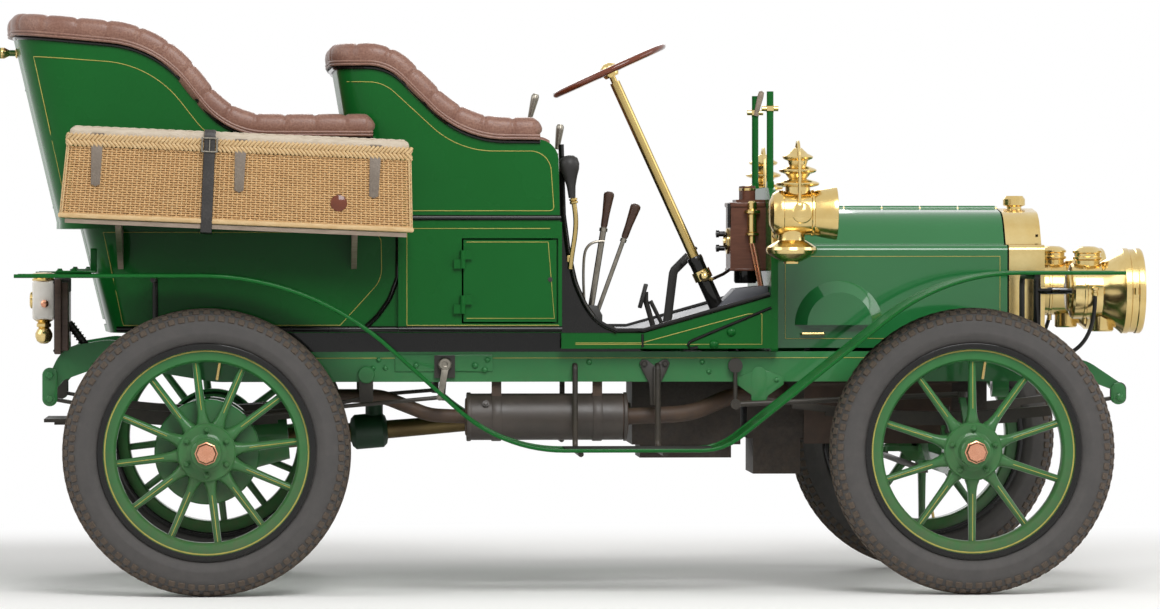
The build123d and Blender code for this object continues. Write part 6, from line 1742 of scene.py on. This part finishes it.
@dataclass
class Controls:
    """Hand levers, pedals and bulb horn beside the driver, and two grab handles on the far side."""

    levers: tuple = (
        # y, foot x, top x, top z, rod radius
        (-384.0, 1099.0, 1161.0, 1155.0, 9.0),
        (-364.0, 1113.0, 1241.0, 1119.0, 6.5),
    )
    foot_z: float = 768.0
    grip_length: float = 106.0
    clutch_y: float = -215.0
    brake_y: float = -120.0
    horn_y: float = -452.0
    handles: tuple = (
        # top, grip's foot, bend, end on the seat's side
        ((985.0, 508.0, 1461.0), (967.0, 508.0, 1388.0), (941.0, 508.0, 1290.0), (938.0, 468.0, 1276.0)),
        ((1060.0, 508.0, 1368.0), (1048.0, 508.0, 1279.0), (1040.0, 508.0, 1230.0), (1004.0, 468.0, 1196.0)),
    )

    def grip(self, foot: Vector, along: Vector) -> Shape:
        """A turned handgrip that swells towards its end."""
        return lathe([(8.5, 0), (10, 6), (11, 40), (14.5, 84), (15.5, 94), (14, 101), (9, 105),
                      (0, self.grip_length)], tuple(foot), tuple(along), 24)

    def build(self) -> None:
        """Makes the pieces and hides the plain solids."""
        steel, grips = Shape(), Shape()
        for y, foot_x, top_x, top_z, radius in self.levers:
            foot, top = Vector((foot_x, y, self.foot_z)), Vector((top_x, y, top_z))
            along = (top - foot).normalized()
            neck = top - along * self.grip_length
            steel.add(rods([[foot, neck + along * 20]], radius, 2))
            steel.add(lathe([(radius + 3, 0), (radius + 3, 10), (0, 10)],
                            tuple(neck - along * 12), tuple(along), 20))
            grips.add(self.grip(neck, along))
        catch = [(1146, 1010), (1120, 1012), (1092, 998), (1084, 960), (1084, 880), (1088, 822)]
        steel.add(rods([[(x, -394, z) for x, z in catch]], 4, 2, smooth=True))
        lever = steel.piece("lever_rods", "chassis", STEEL)
        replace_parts(lever, "driver_controls")
        grips.piece("lever_grips", "chassis", GRIP_WOOD)
        iron = Shape()
        for y in (-396, -356):
            iron.add(plate([(1074, y, 746), (1138, y, 746), (1140, y, 796), (1124, y, 824), (1090, y, 826),
                            (1074, y, 796)], (0, 6, 0), 1.5))
        iron.add(block((1082, -392, 746), (1130, -354, 792), 3))
        y = self.clutch_y
        iron.add(rods([[(1302, y, 746), (1276, y, 838), (1276, y, 862)]], 8, 2))
        iron.add(rods([[(1290, y, 836), (1330, y, 756)]], 6, 2))
        iron.add(self.pad((28, 37), (1268, y, 850), 15))
        bends = ((1343, 750), (1364, 922), (1409, 967))
        strip = spaced([Vector((x, self.brake_y, z)) for x, z in bends], 12.0)
        iron.add(skin(oval(5, 13, 12, 5.0), frames_along(strip, Vector(AHEAD))))
        iron.add(self.pad((30, 34), (1409, self.brake_y, 967), 40))
        iron.piece("pedals", "chassis", IRON)
        self.horn()
        self.grab_handles()

    def pad(self, half: tuple[float, float], middle: Point, lean_deg: float) -> Shape:
        """A pedal's foot plate, leaning back."""
        lean = Matrix.Translation(middle) @ Matrix.Rotation(math.radians(lean_deg), 4, "Y")
        return block((-5, -half[0], -half[1]), (5, half[0], half[1]), 3).moved(lean)

    def horn(self) -> None:
        """Rubber bulb on a curved brass pipe."""
        bulb = lathe([(0, 0), (10, 0), (11, 12), (13, 34), (20, 62), (27, 82), (29, 98), (25, 114), (14, 122),
                      (0, 124)], (1049, self.horn_y, 1135), (-0.08, 0, 1), 32)
        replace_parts(bulb.piece("horn_bulb", "chassis", HORN_RUBBER, 60), "bulb_horn")
        bend = [(1050, 1142), (1056, 1112), (1062, 1070), (1056, 1012), (1047, 966), (1044, 930)]
        pipe = rods([[(x, self.horn_y, z) for x, z in bend]], 7.5, 3, smooth=True)
        pipe.add(lathe([(9, 0), (12, 2), (12, 7), (9, 9), (12, 11), (12, 16), (0, 18)],
                       (1055, self.horn_y, 1118), (-0.2, 0, 1), 24))
        pipe.add(block((1034, -456, 950), (1054, -428, 970), 3))
        pipe.piece("horn_pipe", "chassis", DULL_BRASS)

    def grab_handles(self) -> None:
        """Two bright grab handles on the far end of the front seat."""
        shape = Shape()
        for top, foot, bend, end in self.handles:
            line = [Vector(p) for p in (top, foot, bend, end)]
            shape.add(rods([line[1:]], 6, 2))
            along = (line[0] - line[1]).normalized()
            shape.add(lathe([(7, 0), (8, 10), (12, 60), (12, 70), (8, 77), (0, 79)],
                            tuple(line[0] - along * 78), tuple(along), 24))
            shape.add(lathe([(14, 0), (14, 4), (0, 5)], (end[0], 470, end[2]), (0, 1, 0), 20))
        shape.piece("grab_handles", "chassis", STEEL)


@dataclass
class GasHoses:
    """Rubber gas hoses from the headlamps to the frame."""

    route: tuple = ((2564.0, -474.0, 851.7), (2564.0, -474.0, 735.0), (2450.0, -440.0, 655.0),
                    (2450.0, -380.3, 655.0))
    radius: float = 6.0
    length: float = 0.287

    def build(self) -> None:
        """Makes both hoses as flowing curves."""
        for name, side in (("gas_hose_right", 1), ("gas_hose_left", -1)):
            curve = bpy.data.curves.new(f"{name}_tube", "CURVE")
            curve.dimensions = "3D"
            curve.bevel_depth = self.radius * MM
            curve.bevel_resolution = 3
            curve.use_fill_caps = True
            spline = curve.splines.new("NURBS")
            spline.points.add(len(self.route) - 1)
            for point, (x, y, z) in zip(spline.points, self.route):
                point.co = (*to_row(x, side * y, z), 1.0)
            spline.order_u = 3
            spline.use_endpoint_u = True
            curve.materials.append(HORN_RUBBER.material())
            hose = bpy.data.objects.new(f"{name}_tube", curve)
            bpy.context.scene.collection.objects.link(hose)
            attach(hose, "chassis")
            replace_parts(hose, name)
            x, y, z = self.route[0]


@dataclass
class ChassisTrim:
    """Rivets, bolts, clips and brackets on the frame, springs and exhaust."""

    rail_y: float = -380.0
    lever_plate: tuple[float, float] = (539.0, 822.0)
    link_r: float = 22.0
    axles: tuple[float, float] = (0.0, 2185.0)
    silencer: Point = (759.0, -322.0, 500.0)
    gills: int = 24
    gill_pitch: float = 13.6
    rivets: tuple = (
        # x, z, radius
        (771.0, 651.0, 10.0), (807.0, 667.0, 9.0), (799.0, 638.0, 9.0), (600.0, 651.0, 9.0),
        (492.0, 667.0, 8.0), (476.0, 643.0, 8.0), (511.0, 643.0, 8.0), (1102.0, 660.0, 9.0),
        (1256.0, 652.0, 10.0), (1314.0, 652.0, 10.0), (1430.0, 660.0, 8.0), (1450.0, 632.0, 8.0),
        (2335.0, 660.0, 8.0), (2355.0, 632.0, 8.0), (-330.0, 652.0, 8.0), (-300.0, 652.0, 8.0),
        (2050.0, 652.0, 8.0),
    )
    shackles: tuple = (
        # x, z of the lower pin, height to the upper pin, thickness, bolted
        # the first is thin because the drop arm swings past it
        (1595.0, 556.0, 68.0, 1.0, False), (-456.0, 556.0, 68.0, 5.0, True),
        (2644.0, 557.0, 20.0, 5.0, False),
    )
    hanger: tuple = (
        # x, z of the front spring's rear bracket, in order round its edge
        (1532.0, 614.0), (1590.0, 637.0), (1612.0, 637.0), (1667.0, 616.0), (1667.0, 594.0), (1622.0, 562.0),
        (1612.0, 536.0), (1584.0, 536.0), (1576.0, 562.0), (1532.0, 594.0),
    )
    fork: tuple = (
        # x, z of the step's forked bracket, in order round its edge
        (1247.0, 658.0), (1256.0, 668.0), (1270.0, 666.0), (1291.0, 650.0), (1313.0, 666.0), (1327.0, 668.0),
        (1336.0, 658.0), (1328.0, 637.0), (1308.0, 598.0), (1304.0, 535.0), (1280.0, 535.0), (1276.0, 598.0),
        (1255.0, 637.0),
    )

    def rail(self) -> None:
        """Bracket of the brake lever and the rivets along both rails."""
        shape = Shape()
        start, end = self.lever_plate
        shape.add(block((start, self.rail_y - 5, 633), (end, self.rail_y, 682), 2))
        for x, z, radius in self.rivets:
            shape.add(rivet((x, self.rail_y - (5 if start < x < end else 0), z), OUT, radius))
        shape.add(bolt((2648, self.rail_y - 7, 556), OUT, 12, 9))
        shape.add(plate([(x, self.rail_y + 1, z) for x, z in self.hanger], (0, -6.4, 0), 1.5))
        shape.add(rivet((1646, self.rail_y - 5, 608), OUT, 8))
        shape.add(lathe([(25, 0), (25, 4), (22, 7), (0, 7)], (456, self.rail_y - 5.5, 624), OUT, 28))
        shape.both().piece("rail_brackets", "chassis", FRAME_GREEN)
        boss = lathe([(20, 0), (20, 8), (16, 12), (8, 12), (7, 6), (0, 6)],
                     (683, self.rail_y - 20, 655), OUT, 24)
        arm = [(674, 650), (660, 552), (676, 550), (696, 650)]
        boss.add(plate([(x, self.rail_y - 24, z) for x, z in arm], (0, -7, 0), 2))
        boss.add(bolt((668, self.rail_y - 30, 559), OUT, 7, 6))
        boss.both().piece("brake_levers", "chassis", STEEL)

    def springs(self) -> None:
        """Bolts through the spring eyes and U-bolts over the axles."""
        shape = Shape()
        links = Shape()
        for x, z, rise, thick, bolted in self.shackles:
            turns = [2 * math.pi * (i + 0.5) / 24 for i in range(24)]
            rim = [(x + self.link_r * math.cos(t), self.rail_y - 6,
                    z + self.link_r * math.sin(t) + (rise if math.sin(t) > 0 else 0)) for t in turns]
            links.add(plate(rim, (0, -thick, 0), thick * 0.3))
            for pin_z in (z, z + rise) if bolted else ():
                links.add(bolt((x, self.rail_y - 6 - thick, pin_z), OUT, 11, 8))
        links.both().piece("shackle_links", "chassis", FRAME_GREEN)
        for axle in self.axles:
            for x in (axle - 40, axle + 40):
                loop = [(x, -388, 452), (x, -388, 528), (x, -328, 528), (x, -328, 452)]
                shape.add(rods([[Vector(p) for p in loop]], 6, 2))
                shape.add(bolt((x, -388, 462), (0, 0, -1), 8, 8))
        shape.both().piece("spring_bolts", "chassis", IRON)

    def exhaust(self) -> None:
        """Jacket and bands of the silencer, the shaft's collar and the forked iron of the step."""
        shape = lathe([(66, 0), (67.8, 0), (67.8, 442), (66, 442)], self.silencer, AHEAD, 48)
        for x, width in ((748.0, 12.0), (820.0, 28.0), (1113.0, 28.0), (1204.0, 10.0)):
            band = [(66, 0), (70, 0), (71, 2), (71, width - 2), (70, width), (66, width)]
            shape.add(lathe(band, (x, *self.silencer[1:]), AHEAD, 48))
        shape.add(bolt((802, -384, 540), (0, -1, 0.4), 7, 6))
        shape.piece("silencer_bands", "chassis", JACKET)
        # The collar's dark green enamel is painted shade.
        collar = lathe([(24, -14), (41, -9), (51.5, 2), (51.5, 82), (41, 93), (22, 98)],
                       (427, 0, 445), (1, 0, 0.082), 40)
        collar.add(lathe([(0, 0), (34, 0), (26, 18), (26, 66), (29, 68), (29, 76), (0, 78)],
                         (484, 0, 468), UP, 32))
        collar.piece("shaft_collar_casting", "chassis", SHADED_CASTING_GREEN)
        fork = plate([(x, self.rail_y - 1, z) for x, z in self.fork], (0, -9, 0), 1.5)
        fork.add(block((1287, self.rail_y - 26, 535), (1297, self.rail_y - 8, 648), 3))
        for x in (1261, 1322):
            fork.add(bolt((x, self.rail_y - 9.5, 655), OUT, 8, 6))
        fork.both().piece("step_forks", "chassis", IRON)

    def radiator(self) -> None:
        """Gills across the radiator's front."""
        shape = Shape()
        for i in range(self.gills):
            z = 716 + self.gill_pitch * i
            half = 262 if z < 975 else 200
            shape.add(block((2427, -half, z), (2435, half, z + 1.6), 0))
        shape.piece("radiator_gills", "chassis", CORE)

    def build(self) -> None:
        """Makes every fitting."""
        self.rail()
        self.springs()
        self.exhaust()
        self.radiator()


class Car:
    """The whole car, sub-assembly by sub-assembly."""

    WHEELS = (
        # name, axle, side, spokes, first spoke in degrees, hub bolts, brake drum
        ("wheel_front_right", 2185.0, RIGHT, 10, 90.0, 5, False),
        ("wheel_front_left", 2185.0, LEFT, 10, 90.0, 5, False),
        ("wheel_rear_right", 0.0, RIGHT, 12, 7.0, 6, True),
        ("wheel_rear_left", 0.0, LEFT, 12, 7.0, 6, True),
    )

    def __init__(self, nodes: dict[str, bpy.types.Object]) -> None:
        """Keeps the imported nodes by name."""
        self.nodes = nodes

    def dress_nodes(self) -> None:
        """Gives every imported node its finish."""
        for name, finish in NODE_FINISHES.items():
            mesh = self.nodes[name].data
            mesh.materials.clear()
            mesh.materials.append(finish.material())

    def build(self) -> None:
        """Builds the sub-assemblies in order."""
        self.dress_nodes()
        for spec in self.WHEELS:
            ArtilleryWheel(*spec).build()
        REAR_TUB.build("rear_upholstery")
        REAR_TUB.build_door("rear_door_pad")
        FRONT_TUB.build("front_upholstery")
        Cushions().build()
        WickerHamper().build()
        Headlamp().build()
        SideLamp().build()
        TailLamp().build()
        SteeringGear().build()
        BodyLines().build()
        DashFittings().build()
        Controls().build()
        GasHoses().build()
        ChassisTrim().build()


def main() -> None:
    """Loads the frame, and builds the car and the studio."""
    logging.basicConfig(level=logging.INFO, format="%(name)s: %(message)s")
    for obj in list(bpy.data.objects):
        bpy.data.objects.remove(obj)
    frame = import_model()
    cad_box = tuple(corner.copy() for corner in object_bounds())
    bpy.context.scene.view_settings.view_transform = "Standard"
    studio = Studio()
    studio.camera()
    studio.light()
    studio.floor()
    Car(frame["nodes"]).build()


if __name__ == "__main__":
    main()
